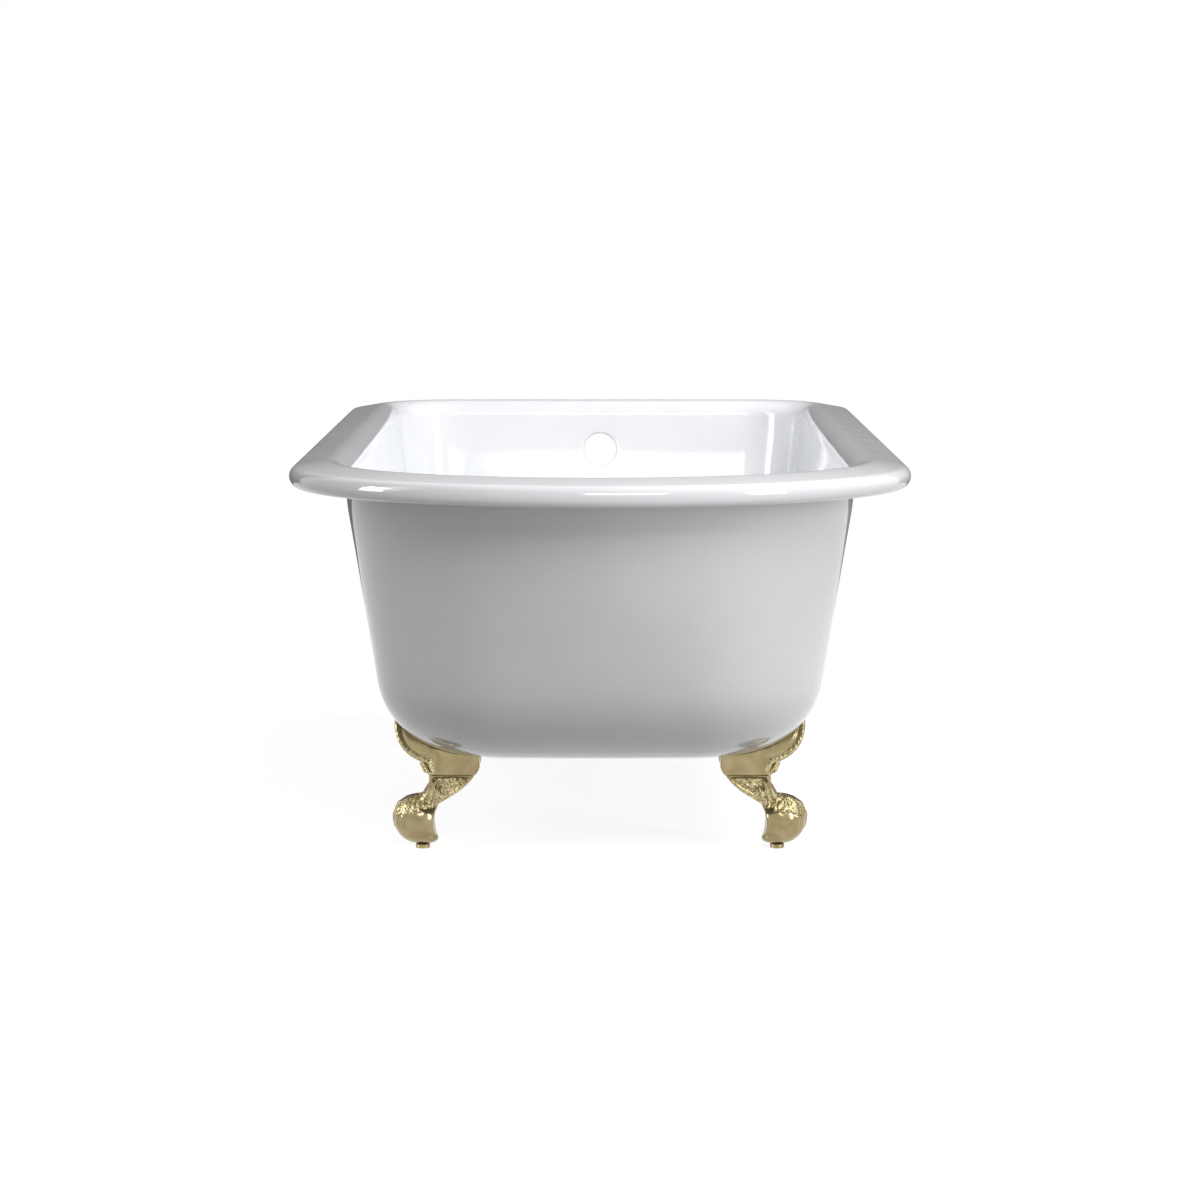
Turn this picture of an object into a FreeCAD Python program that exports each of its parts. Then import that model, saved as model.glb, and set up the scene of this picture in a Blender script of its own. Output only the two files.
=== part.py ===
import FreeCAD, Part
import math
import os
import Sketcher

# Cast iron roll-top bath on four ball-and-claw feet.
# Millimetres and degrees. X runs across the bath, Y along it with the round head end at -Y, Z up.
# The origin is on the floor, under the middle of the rim.

SIZES = {
    # Rim
    "rim_width": 775,
    "rim_length": 1700,
    "rim_height": 518.5,
    "rim_reach": 69,
    "rim_corner_radius": 165,
    "head_arch_rise": 359,
    "nose_radius": 13.2,
    "lip_turn": 200,
    "crown_drop": 6.1,
    "shoulder_radius": 27,
    "neck_drop": 38.5,
    # Walls and sole of the casting
    "wall_thickness": 7,
    "sole_thickness": 9,
    "sole_height": 132,
    "side_lean": 8.1,
    "side_radius": 118,
    "head_lean": 32.5,
    "head_radius": 260,
    "tap_lean": 11,
    "tap_radius": 110,
    "sole_corner_radius": 60,
    # Holes for the waste and the overflow
    "waste_diameter": 52,
    "waste_recess_diameter": 76,
    "waste_recess_depth": 2,
    "waste_inset": 330,
    "overflow_diameter": 52,
    "overflow_drop": 76.5,
    # Bosses and the fixing of each foot
    "boss_diameter": 34,
    "boss_height": 8,
    "stud_diameter": 12,
    "stud_depth": 11,
    "stud_tail": 3,
    "stud_chamfer": 1,
    "clamp_thickness": 7,
    "spot_face_depth": 1.3,
    "washer_diameter": 24,
    "washer_thickness": 2.5,
    "nut_flats": 19,
    "nut_height": 10,
    # Feet
    "head_foot_inset": 515,
    "tap_foot_inset": 345,
    "foot_heel": 11.7,
    "foot_length": 110,
    "leaf_climb": 75,
    "hollow_width": 32,
    "leaf_width": 104,
    "shelf_width": 84,
    "ankle_width": 42,
    "scroll_radius": 7,
    "scroll_width": 60,
    "ball_diameter": 67,
    # Levelling screws and their pads
    "pad_diameter": 18.6,
    "pad_height": 5.8,
    "pad_chamfer": 0.8,
    "pad_offset": 5,
    "socket_depth": 3,
    "nib_diameter": 6,
    "screw_diameter": 10,
    "screw_length": 46,
    "screw_flats": 8.5,
    "screw_flats_length": 8,
    "screw_chamfer": 1,
    # Fits
    "seat_gap": 0.3,
    "thread_clearance": 0.05,
    "nib_clearance": 0.1,
    "hole_clearance": 0.5,
    "overrun": 30,
}

# Levels of the lofted wall, from the sole to the neck under the rim
WALL_STEPS = 14
# How far the head end bows out at the sole, against the sole's half width
SOLE_ARCH_SHARE = 0.3
# How far the tighter arcs of the head's arch fall short of its rise or its half width, whichever is less
ARCH_MARGIN_SHARE = 0.025
# How soon the head's arch grows from the sole to the neck: 1 is evenly, less is mostly near the sole
ARCH_POWER = 0.4
# Side of the foot below the plate, from its inner end round to the leaf's tip: each point is a share
# of the foot's length from its inner end, and of the way from the ball's centre up to the leaf's tip
FOOT_SHARES = {
    "inner_end": (0.0, 0.42),
    "inner_bend": (0.055, 0.364),
    "inner_rise": (0.145, 0.284),
    "calf": (0.264, 0.216),
    "heel": (0.414, 0.154),
    "heel_low": (0.505, 0.109),
    "ball_back": (0.618, 0.036),
    "ball_front": (0.736, 0.124),
    "ankle": (0.59, 0.296),
    "instep": (0.577, 0.361),
    "knee_low": (0.673, 0.485),
    "knee_high": (1.0, 0.746),
    "leaf_tip": (1.0, 1.0),
}
# Hollow behind the foot, open towards the middle of the bath, in the same shares
HOLLOW_SHARES = {
    "front_high": (0.63, 0.6),
    "front_low": (0.51, 0.36),
    "floor": (0.37, 0.24),
    "mouth": (0.0, 0.1),
}
# The ledge half way down the foot, the ball's centre and the stud, in the same shares
SHELF_SHARE = 0.37
BALL_ACROSS_SHARE = 0.733
STUD_ACROSS_SHARE = 0.43
# Height of the ball's centre over its flat, in shares of its radius
BALL_FLAT_SHARE = 0.965
# Radius of the knee, in shares of its chord
KNEE_BOW_SHARE = 0.75
# Where the ball is cut away behind, in shares of its radius from its centre
BALL_CUT_SHARES = [
    (-0.7, 0.47),
    (-0.61, 0.32),
    (-0.57, -0.03),
    (-0.54, -0.26),
    (-0.61, -0.47),
    (-0.74, -0.68),
    (-1.19, -0.82),
    (-1.36, 0.85),
    (-0.9, 0.62),
]

doc = FreeCAD.newDocument("roll_top_bath")
sheet = doc.addObject("Spreadsheet::Sheet", "Sizes")
for row, (alias, value) in enumerate(SIZES.items(), start=1):
    sheet.set(f"A{row}", alias)
    sheet.set(f"B{row}", str(value))
    sheet.setAlias(f"B{row}", alias)
doc.recompute()


def number(expression):
    """Value of an expression in the sheet's words."""
    value = sheet.evalExpression(expression)
    return float(getattr(value, "Value", value))


def size(alias):
    """Value of one cell of the sheet."""
    return float(sheet.get(alias))


# Values worked out from the sheet, as expressions, for the sketches that follow the bath's section
HALF_WIDTH = "(Sizes.rim_width / 2)"
NECK_HEIGHT = "(Sizes.rim_height - Sizes.neck_drop)"
ARC_TOP = "(Sizes.sole_height + Sizes.side_radius * (1 - sin(Sizes.side_lean)))"
LEAN_RUN = f"(({NECK_HEIGHT} - {ARC_TOP}) * tan(Sizes.side_lean))"
ARC_RUN = "(Sizes.side_radius * cos(Sizes.side_lean))"
ARC_X = f"({HALF_WIDTH} - Sizes.rim_reach - {LEAN_RUN} - {ARC_RUN})"
ARC_Z = "(Sizes.sole_height + Sizes.side_radius)"
BOSS_FACE = "(Sizes.side_radius + Sizes.boss_height)"
CLAMP_FACE = f"({BOSS_FACE} + Sizes.clamp_thickness)"
WASHER_FACE = f"({CLAMP_FACE} + Sizes.washer_thickness)"
NUT_FACE = f"({WASHER_FACE} + Sizes.nut_height)"
STUD_LENGTH = f"({NUT_FACE} + Sizes.stud_tail - {BOSS_FACE} + Sizes.stud_depth)"
PLATE_RADIUS = f"({CLAMP_FACE} + Sizes.spot_face_depth)"
FOOT_INNER = f"({ARC_X} - Sizes.foot_heel)"
FOOT_TOP = "(Sizes.sole_height + Sizes.leaf_climb)"
STUD_ANGLE = f"acos(({STUD_ACROSS_SHARE} * Sizes.foot_length - Sizes.foot_heel) / {CLAMP_FACE})"
BALL_RADIUS = "(Sizes.ball_diameter / 2)"
BALL_FLAT = "(Sizes.pad_height + Sizes.seat_gap)"
BALL_HEIGHT = f"({BALL_FLAT} + {BALL_FLAT_SHARE} * {BALL_RADIUS})"
BALL_INSET = f"({FOOT_INNER} + {BALL_ACROSS_SHARE} * Sizes.foot_length)"
PAD_INSET = f"({BALL_INSET} - Sizes.pad_offset)"
SCREW_TOP = f"({BALL_FLAT} + Sizes.screw_length)"
FOOT_RISE = f"({FOOT_TOP} - {BALL_HEIGHT})"


# The bath: lofted walls under a swept rim

FACE_LEAN = {"side": "side_lean", "head": "head_lean", "tap": "tap_lean"}
FACE_RADIUS = {"side": "side_radius", "head": "head_radius", "tap": "tap_radius"}


def skin_base(skin):
    """Height of the sole's underside (skin 0) or of its top (skin 1)."""
    return size("sole_height") + skin * size("sole_thickness")


def wall_inset(face, height, skin):
    """Distance of a wall from the rim's nose line at a height, outside (skin 0) or inside (skin 1)."""
    lean = math.radians(size(FACE_LEAN[face]))
    radius = size(FACE_RADIUS[face]) - skin * size("wall_thickness")
    top = size("rim_reach") + skin * size("wall_thickness")
    base = skin_base(skin)
    neck = number(NECK_HEIGHT)
    arc_top = base + radius * (1 - math.sin(lean))
    if height >= arc_top:
        return top + (neck - height) * math.tan(lean)
    sole_inset = top + (neck - arc_top) * math.tan(lean) + radius * math.cos(lean)
    drop = radius - (height - base)
    return sole_inset - math.sqrt(max(radius ** 2 - drop ** 2, 0))


def wall_levels(skin):
    """Heights spaced evenly along the side wall's section, from the sole to the neck."""
    lean = math.radians(size("side_lean"))
    radius = size("side_radius") - skin * size("wall_thickness")
    base = skin_base(skin)
    arc_top = base + radius * (1 - math.sin(lean))
    arc_length = radius * (math.pi / 2 - lean)
    line_length = (number(NECK_HEIGHT) - arc_top) / math.cos(lean)
    levels = []
    for step in range(WALL_STEPS + 1):
        along = (arc_length + line_length) * step / WALL_STEPS
        if along <= arc_length:
            levels.append(base + radius * (1 - math.cos(along / radius)))
        else:
            levels.append(arc_top + (along - arc_length) * math.cos(lean))
    return levels


def arch_radii(half_width, rise, margin):
    """Radii of the flanks and the crown of a three-centred arch, broader than high or higher than broad."""
    lesser, greater = sorted((half_width, rise))
    tight = lesser - margin
    wide = ((greater - tight) ** 2 + lesser ** 2 - tight ** 2) / (2 * margin)
    return (tight, wide) if rise <= half_width else (wide, tight)


def plan_wire(height, half_width, head_inset, tap_inset, spring_inset, arch_margin, corner_radius):
    """Level outline of the bath: a three-centred arch at the head, straight sides and a square tap end."""
    rise = spring_inset - head_inset
    flank_radius, crown_radius = arch_radii(half_width, rise, arch_margin)
    flank_x = half_width - flank_radius
    turn = math.atan2(abs(crown_radius - rise), abs(flank_x))
    head_y = head_inset - size("rim_length") / 2
    spring_y = spring_inset - size("rim_length") / 2
    tap_y = size("rim_length") / 2 - tap_inset
    corner_x = half_width - corner_radius
    corner_y = tap_y - corner_radius
    quarter = math.pi / 2

    def point(x, y):
        return FreeCAD.Vector(x, y, height)

    def arc(x, y, radius, start, end):
        angles = (start, (start + end) / 2, end)
        spots = [point(x + radius * math.cos(a), y + radius * math.sin(a)) for a in angles]
        return Part.Arc(*spots).toShape()

    def line(x0, y0, x1, y1):
        return Part.LineSegment(point(x0, y0), point(x1, y1)).toShape()

    return Part.Wire([
        arc(0, head_y + crown_radius, crown_radius, turn - 2 * quarter, -turn),
        arc(flank_x, spring_y, flank_radius, -turn, 0),
        line(half_width, spring_y, half_width, corner_y),
        arc(corner_x, corner_y, corner_radius, 0, quarter),
        line(corner_x, tap_y, -corner_x, tap_y),
        arc(-corner_x, corner_y, corner_radius, quarter, 2 * quarter),
        line(-half_width, corner_y, -half_width, spring_y),
        arc(-flank_x, spring_y, flank_radius, 2 * quarter, 2 * quarter + turn),
    ])


def rim_margin():
    """Margin of the head's arch along the rim's nose."""
    return ARCH_MARGIN_SHARE * min(size("head_arch_rise"), size("rim_width") / 2)


def wall_wire(height, skin):
    """Outline of the wall at a height, outside (skin 0) or inside (skin 1)."""
    base = skin_base(skin)
    up = max((height - base) / (number(NECK_HEIGHT) - base), 0)
    rounding = up**ARCH_POWER
    half = size("rim_width") / 2
    neck_inset = size("rim_reach") + skin * size("wall_thickness")
    neck_arch = size("head_arch_rise") - neck_inset
    sole_arch = SOLE_ARCH_SHARE * (half - wall_inset("side", base, skin))
    sole_margin = ARCH_MARGIN_SHARE * sole_arch
    head_inset = wall_inset("head", height, skin)
    neck_corner = size("rim_corner_radius") - neck_inset
    sole_corner = size("sole_corner_radius") - skin * size("wall_thickness")
    return plan_wire(
        height,
        half - wall_inset("side", height, skin),
        head_inset,
        wall_inset("tap", height, skin),
        head_inset + sole_arch + (neck_arch - sole_arch) * rounding,
        sole_margin + (rim_margin() - sole_margin) * rounding,
        sole_corner + (neck_corner - sole_corner) * up,
    )


def rim_section():
    """Section of the rolled rim at the head end: a curled flange as thick as the wall."""
    wall = size("wall_thickness")
    reach = size("rim_reach")
    neck = number(NECK_HEIGHT)
    nose = size("nose_radius")
    shoulder = size("shoulder_radius")
    nose_centre = (nose, size("rim_height") - size("crown_drop") - nose)
    shoulder_centre = (reach + wall - shoulder, size("rim_height") - shoulder)
    lip = size("lip_turn")
    across = shoulder_centre[0] - nose_centre[0]
    rise = shoulder_centre[1] - nose_centre[1]
    slope = math.atan2(rise, across) + math.asin((shoulder - nose) / math.hypot(across, rise))
    slope = math.degrees(slope)

    def point(inset, height):
        return FreeCAD.Vector(0, inset - size("rim_length") / 2, height)

    def on_arc(centre, radius, angle):
        turn = math.radians(angle)
        return point(centre[0] - radius * math.sin(turn), centre[1] + radius * math.cos(turn))

    def arc(centre, radius, start, end):
        angles = (start, (start + end) / 2, end)
        return Part.Arc(*[on_arc(centre, radius, a) for a in angles]).toShape()

    def line(start, end):
        return Part.LineSegment(start, end).toShape()

    return Part.Wire([
        line(point(reach, neck), point(reach + wall, neck)),
        line(point(reach + wall, neck), on_arc(shoulder_centre, shoulder, -90)),
        arc(shoulder_centre, shoulder, -90, slope),
        line(on_arc(shoulder_centre, shoulder, slope), on_arc(nose_centre, nose, slope)),
        arc(nose_centre, nose, slope, lip),
        line(on_arc(nose_centre, nose, lip), on_arc(nose_centre, nose - wall, lip)),
        arc(nose_centre, nose - wall, lip, slope),
        line(on_arc(nose_centre, nose - wall, slope), on_arc(shoulder_centre, shoulder - wall, slope)),
        arc(shoulder_centre, shoulder - wall, slope, -90),
        line(on_arc(shoulder_centre, shoulder - wall, -90), point(reach, neck)),
    ])


def wire_object(name, wire):
    """Construction wire kept in the document."""
    feature = doc.addObject("Part::Feature", name)
    feature.Shape = wire
    return feature


def wall_loft(name, skin):
    """Solid inside one skin of the wall, lofted through level outlines."""
    loft = doc.addObject("Part::Loft", name)
    levels = wall_levels(skin)
    loft.Sections = [wire_object(f"{name}_{i}", wall_wire(z, skin)) for i, z in enumerate(levels)]
    loft.Solid = True
    loft.Ruled = False
    return loft


def rolled_rim():
    """Rim swept round the bath's outline."""
    half = size("rim_width") / 2
    corner = size("rim_corner_radius")
    spring = size("head_arch_rise")
    outline = plan_wire(size("rim_height"), half, 0, 0, spring, rim_margin(), corner)
    path = wire_object("rim_path", outline)
    sweep = doc.addObject("Part::Sweep", "rolled_rim")
    sweep.Sections = [wire_object("rim_section", rim_section())]
    sweep.Spine = (path, [f"Edge{i}" for i in range(1, len(path.Shape.Edges) + 1)])
    sweep.Solid = True
    sweep.Frenet = False
    return sweep


def cylinder(name, radius, height, placement):
    """Part cylinder whose radius and height are expressions."""
    shape = doc.addObject("Part::Cylinder", name)
    shape.setExpression("Radius", radius)
    shape.setExpression("Height", height)
    shape.Placement = placement
    return shape


def joined(kind, name, base, tool):
    """Boolean of two objects."""
    result = doc.addObject(kind, name)
    result.Base = base
    result.Tool = tool
    return result


HEAD_Y = "(Sizes.head_foot_inset - Sizes.rim_length / 2)"
TAP_Y = "(Sizes.rim_length / 2 - Sizes.tap_foot_inset)"
# Each foot stands at a distance along the bath and is turned to face its own side
FOOT_SPOTS = {
    "head_right": (number(HEAD_Y), 0),
    "head_left": (number(HEAD_Y), 180),
    "tap_right": (number(TAP_Y), 0),
    "tap_left": (number(TAP_Y), 180),
}


def foot_placement(corner):
    """Frame of a foot: X points out from the middle of the bath, Z up, origin on the floor."""
    along, turn = FOOT_SPOTS[corner]
    return FreeCAD.Placement(FreeCAD.Vector(0, along, 0), FreeCAD.Rotation(FreeCAD.Vector(0, 0, 1), turn))


def stud_placement(distance):
    """Frame on a foot's stud axis, at a distance from the centre of the bath's side curve, Z outwards."""
    angle = math.radians(number(STUD_ANGLE))
    way = FreeCAD.Vector(math.cos(angle), 0, -math.sin(angle))
    centre = FreeCAD.Vector(number(ARC_X), 0, number(ARC_Z))
    return FreeCAD.Placement(centre + way * distance, FreeCAD.Rotation(FreeCAD.Vector(0, 0, 1), way))


def make_tub():
    """Casting with its bosses, waste and overflow holes."""
    shell = joined("Part::Cut", "wall_shell", wall_loft("outer_skin", 0), wall_loft("inner_skin", 1))
    tub = joined("Part::Fuse", "shell_and_rim", shell, rolled_rim())
    root = number("Sizes.side_radius - Sizes.wall_thickness / 2")
    foot_face = number(BOSS_FACE)
    for corner in FOOT_SPOTS:
        frame = foot_placement(corner)
        boss_start = frame * stud_placement(root)
        boss_height = "Sizes.boss_height + Sizes.wall_thickness / 2"
        boss = cylinder(f"boss_{corner}", "Sizes.boss_diameter / 2", boss_height, boss_start)
        tub = joined("Part::Fuse", f"with_boss_{corner}", tub, boss)
        hole_radius = "Sizes.stud_diameter / 2 + Sizes.thread_clearance"
        hole_start = frame * stud_placement(foot_face - size("stud_depth"))
        hole_length = "Sizes.stud_depth + Sizes.overrun"
        hole = cylinder(f"stud_hole_{corner}", hole_radius, hole_length, hole_start)
        tub = joined("Part::Cut", f"with_hole_{corner}", tub, hole)
    waste_y = size("rim_length") / 2 - size("waste_inset")
    waste_frame = FreeCAD.Placement()
    waste_frame.Base = FreeCAD.Vector(0, waste_y, size("sole_height") - size("overrun"))
    waste_depth = "Sizes.sole_thickness + 2 * Sizes.overrun"
    waste = cylinder("waste_hole", "Sizes.waste_diameter / 2", waste_depth, waste_frame)
    tub = joined("Part::Cut", "with_waste_hole", tub, waste)
    recess_frame = FreeCAD.Placement()
    recess_frame.Base = FreeCAD.Vector(0, waste_y, skin_base(1) - size("waste_recess_depth"))
    recess_radius = "Sizes.waste_recess_diameter / 2"
    recess = cylinder("waste_recess", recess_radius, "Sizes.overrun", recess_frame)
    tub = joined("Part::Cut", "with_waste_recess", tub, recess)
    overflow_z = size("rim_height") - size("overflow_drop")
    overflow_y = size("rim_length") / 2 - wall_inset("tap", overflow_z, 1)
    lean = math.radians(size("tap_lean"))
    way = FreeCAD.Vector(0, math.cos(lean), -math.sin(lean))
    start = FreeCAD.Vector(0, overflow_y, overflow_z) - way * size("overrun")
    overflow_length = "Sizes.wall_thickness + 2 * Sizes.overrun"
    overflow_frame = FreeCAD.Placement(start, FreeCAD.Rotation(FreeCAD.Vector(0, 0, 1), way))
    overflow = cylinder("overflow_hole", "Sizes.overflow_diameter / 2", overflow_length, overflow_frame)
    tub = joined("Part::Cut", "finished_tub", tub, overflow)
    tub.Label = "tub"
    return tub


# Helpers for the bodies

def new_body(label):
    """Empty body with a label."""
    body = doc.addObject("PartDesign::Body", label)
    body.Label = label
    return body


def sketch_on(body, name, role, offset=FreeCAD.Placement()):
    """Sketch on one of the body's own planes."""
    sketch = body.newObject("Sketcher::SketchObject", name)
    plane = [item for item in body.Origin.OriginFeatures if item.Role == role][0]
    sketch.AttachmentSupport = (plane, [""])
    sketch.MapMode = "FlatFace"
    sketch.AttachmentOffset = offset
    return sketch


def bind(sketch, constraint, expression):
    """Add a constraint and tie it to the sheet."""
    index = sketch.addConstraint(constraint)
    sketch.setExpression(f"Constraints[{index}]", expression)


def draw_circle(sketch, x, y, radius):
    """Circle whose centre and radius are expressions."""
    centre = FreeCAD.Vector(number(x), number(y), 0)
    circle = sketch.addGeometry(Part.Circle(centre, FreeCAD.Vector(0, 0, 1), number(radius)), False)
    bind(sketch, Sketcher.Constraint("DistanceX", -1, 1, circle, 3, centre.x), x)
    bind(sketch, Sketcher.Constraint("DistanceY", -1, 1, circle, 3, centre.y), y)
    bind(sketch, Sketcher.Constraint("Radius", circle, number(radius)), radius)


def draw_outline(sketch, corners, bows=None):
    """Closed outline through corners given as expressions.

    bows maps the index of an edge to (radius expression, side): the edge is an arc of less than a half
    circle, whose centre lies to the left of its run for side 1 and to the right for side -1.
    """
    bows = bows or {}
    spots = [FreeCAD.Vector(number(x), number(y), 0) for x, y in corners]
    edges = []
    for i, start in enumerate(spots):
        end = spots[(i + 1) % len(spots)]
        if i not in bows:
            edges.append((sketch.addGeometry(Part.LineSegment(start, end), False), 1, 2))
            continue
        radius, side = number(bows[i][0]), bows[i][1]
        chord = end - start
        left = FreeCAD.Vector(-chord.y, chord.x, 0).normalize() * side
        reach = math.sqrt(max(radius ** 2 - (chord.Length / 2) ** 2, 0))
        centre = (start + end) * 0.5 + left * reach
        middle = centre - left * radius
        edge = sketch.addGeometry(Part.Arc(start, middle, end), False)
        first, last = (1, 2) if side > 0 else (2, 1)
        edges.append((edge, first, last))
        bind(sketch, Sketcher.Constraint("Radius", edge, radius), bows[i][0])
    for i, (edge, first, last) in enumerate(edges):
        following = edges[(i + 1) % len(edges)]
        sketch.addConstraint(Sketcher.Constraint("Coincident", edge, last, following[0], following[1]))
        bind(sketch, Sketcher.Constraint("DistanceX", -1, 1, edge, first, spots[i].x), corners[i][0])
        bind(sketch, Sketcher.Constraint("DistanceY", -1, 1, edge, first, spots[i].y), corners[i][1])


def pad(body, name, sketch, length, midplane=False):
    """Pad of a sketch."""
    feature = body.newObject("PartDesign::Pad", name)
    feature.Profile = sketch
    feature.setExpression("Length", length)
    feature.SideType = "Symmetric" if midplane else "One side"
    doc.recompute()
    return feature


def pocket(body, name, sketch, length, midplane=False, reverse=False):
    """Pocket of a sketch, which has to take something away."""
    before = body.Shape.Volume
    feature = body.newObject("PartDesign::Pocket", name)
    feature.Profile = sketch
    feature.setExpression("Length", length)
    feature.SideType = "Symmetric" if midplane else "One side"
    feature.Reversed = reverse
    doc.recompute()
    if not body.Shape.Volume < before:
        raise ValueError(f"{body.Label}: {name} cuts nothing")
    return feature


def chamfer(body, name, feature, edges, amount):
    """Chamfer of named edges of a feature."""
    cut = body.newObject("PartDesign::Chamfer", name)
    cut.Base = (feature, edges)
    cut.setExpression("Size", amount)
    doc.recompute()
    return cut


def ring_edges(feature, heights):
    """Names of a feature's round edges that lie level at one of the heights."""
    names = []
    tolerance = FreeCAD.Base.Precision.approximation()
    for index, edge in enumerate(feature.Shape.Edges, start=1):
        box = edge.BoundBox
        level = math.isclose(box.ZMin, box.ZMax, abs_tol=tolerance)
        if level and edge.Closed and any(math.isclose(box.ZMin, z, abs_tol=tolerance) for z in heights):
            names.append(f"Edge{index}")
    return names


def hexagon(flats):
    """Corners of a hexagon of a width across flats, one corner on +X."""
    reach = f"({flats} / 2 / cos(30))"
    return [(f"{reach} * cos({60 * k})", f"{reach} * sin({60 * k})") for k in range(6)]


# Feet

def foot_point(shares):
    """Point of the foot's side from its shares of the foot's length and rise."""
    across = f"({FOOT_INNER} + {shares[0]} * Sizes.foot_length)"
    up = f"({BALL_HEIGHT} + {shares[1]} * {FOOT_RISE})"
    return across, up


def bracket(body):
    """Upright of the foot, as wide as its leaf, from its side outline."""
    side = sketch_on(body, f"{body.Label}_side", "XZ_Plane")
    corners = [foot_point(shares) for shares in FOOT_SHARES.values()]
    corners.append((ARC_X, FOOT_TOP))
    corners.append((FOOT_INNER, ARC_Z))
    knee = list(FOOT_SHARES).index("knee_low")
    low, high = corners[knee], corners[knee + 1]
    chord = f"sqrt(({high[0]} - {low[0]})^2 + ({high[1]} - {low[1]})^2)"
    draw_outline(side, corners, {knee: (f"{KNEE_BOW_SHARE} * {chord}", 1)})
    pad(body, f"{body.Label}_bracket", side, "Sizes.leaf_width", midplane=True)


def taper(body):
    """Narrow the upright below the leaf, in steps down to the ankle."""
    knee = foot_point(FOOT_SHARES["knee_high"])[1]
    shelf = foot_point((0, SHELF_SHARE))[1]
    low = foot_point(FOOT_SHARES["ankle"])[1]
    outside = "(Sizes.leaf_width / 2 + Sizes.overrun)"
    floor = f"({BALL_HEIGHT} - Sizes.overrun)"
    reach = f"4 * ({FOOT_INNER} + Sizes.foot_length)"
    for hand, side in (("right", 1), ("left", -1)):
        front = sketch_on(body, f"{body.Label}_front_{hand}", "YZ_Plane")
        profile = [
            ("Sizes.leaf_width / 2", knee),
            ("Sizes.shelf_width / 2", shelf),
            ("(Sizes.shelf_width + Sizes.ankle_width) / 4", shelf),
            ("Sizes.ankle_width / 2", low),
            ("Sizes.ankle_width / 2", floor),
            (outside, floor),
            (outside, knee),
        ]
        draw_outline(front, [(f"{side} * ({y})", z) for y, z in profile])
        pocket(body, f"{body.Label}_taper_{hand}", front, reach, midplane=True)


def ball(body):
    """Ball under the ankle, flat below, turned about its own axis."""
    half = sketch_on(body, f"{body.Label}_ball_half", "XZ_Plane")
    flat = f"{BALL_RADIUS} * sqrt(1 - {BALL_FLAT_SHARE}^2)"
    corners = [
        (BALL_INSET, BALL_FLAT),
        (f"{BALL_INSET} + {flat}", BALL_FLAT),
        (f"{BALL_INSET} + {BALL_RADIUS}", BALL_HEIGHT),
        (BALL_INSET, f"{BALL_HEIGHT} + {BALL_RADIUS}"),
    ]
    draw_outline(half, corners, {1: (BALL_RADIUS, 1), 2: (BALL_RADIUS, 1)})
    turned = body.newObject("PartDesign::Revolution", f"{body.Label}_ball")
    turned.Profile = half
    turned.ReferenceAxis = (half, ["Edge4"])
    turned.Angle = 360
    doc.recompute()
    back = sketch_on(body, f"{body.Label}_ball_back", "XZ_Plane")
    cut = [
        (f"{BALL_INSET} + {x} * {BALL_RADIUS}", f"{BALL_HEIGHT} + {z} * {BALL_RADIUS}")
        for x, z in BALL_CUT_SHARES
    ]
    draw_outline(back, cut)
    pocket(body, f"{body.Label}_ball_cut", back, "2 * Sizes.ball_diameter", midplane=True)


def scroll(body):
    """Small roll across the foot where the knee turns in to the ankle."""
    end = sketch_on(body, f"{body.Label}_scroll_end", "XZ_Plane")
    across, up = foot_point(FOOT_SHARES["knee_low"])
    draw_circle(end, f"{across} - Sizes.scroll_radius", f"{up} - Sizes.scroll_radius", "Sizes.scroll_radius")
    pad(body, f"{body.Label}_scroll", end, "Sizes.scroll_width", midplane=True)


def seat(body):
    """Cut the foot to the bath's curve, with a small gap all over."""
    section = sketch_on(body, f"{body.Label}_seat_section", "XZ_Plane")
    radius = "(Sizes.side_radius + Sizes.seat_gap)"
    turn_x = f"{ARC_X} + {radius} * cos(Sizes.side_lean)"
    turn_z = f"{ARC_Z} - {radius} * sin(Sizes.side_lean)"
    top = f"({ARC_Z} + Sizes.overrun)"
    inside = f"{FOOT_INNER} - Sizes.overrun"
    corners = [
        (inside, f"{ARC_Z} - {radius}"),
        (ARC_X, f"{ARC_Z} - {radius}"),
        (turn_x, turn_z),
        (f"{turn_x} + ({top} - ({turn_z})) * tan(Sizes.side_lean)", top),
        (inside, top),
    ]
    draw_outline(section, corners, {1: (radius, 1)})
    pocket(body, f"{body.Label}_seat", section, "2 * Sizes.leaf_width", midplane=True)


def hollow(body):
    """Hollow behind the foot, under a plate that follows the bath."""
    section = sketch_on(body, f"{body.Label}_hollow_section", "XZ_Plane")
    high = foot_point(HOLLOW_SHARES["front_high"])
    rise = f"sqrt({PLATE_RADIUS}^2 - ({high[0]} - {ARC_X})^2)"
    mouth = foot_point(HOLLOW_SHARES["mouth"])
    corners = [
        (f"{FOOT_INNER} - Sizes.overrun", f"{ARC_Z} - {PLATE_RADIUS}"),
        (ARC_X, f"{ARC_Z} - {PLATE_RADIUS}"),
        (high[0], f"{ARC_Z} - {rise}"),
        foot_point(HOLLOW_SHARES["front_low"]),
        foot_point(HOLLOW_SHARES["floor"]),
        (f"{mouth[0]} - Sizes.overrun", mouth[1]),
    ]
    draw_outline(section, corners, {1: (PLATE_RADIUS, 1)})
    pocket(body, f"{body.Label}_hollow", section, "Sizes.hollow_width", midplane=True)


def stud_cut(body, name, distance, radius, length):
    """Round cut along the stud's axis, outwards from a distance from the side curve's centre."""
    frame = stud_placement(number(distance))
    sketch = sketch_on(body, f"{body.Label}_{name}_circle", "XY_Plane", frame)
    draw_circle(sketch, "0", "0", radius)
    pocket(body, f"{body.Label}_{name}", sketch, length, reverse=True)


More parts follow.
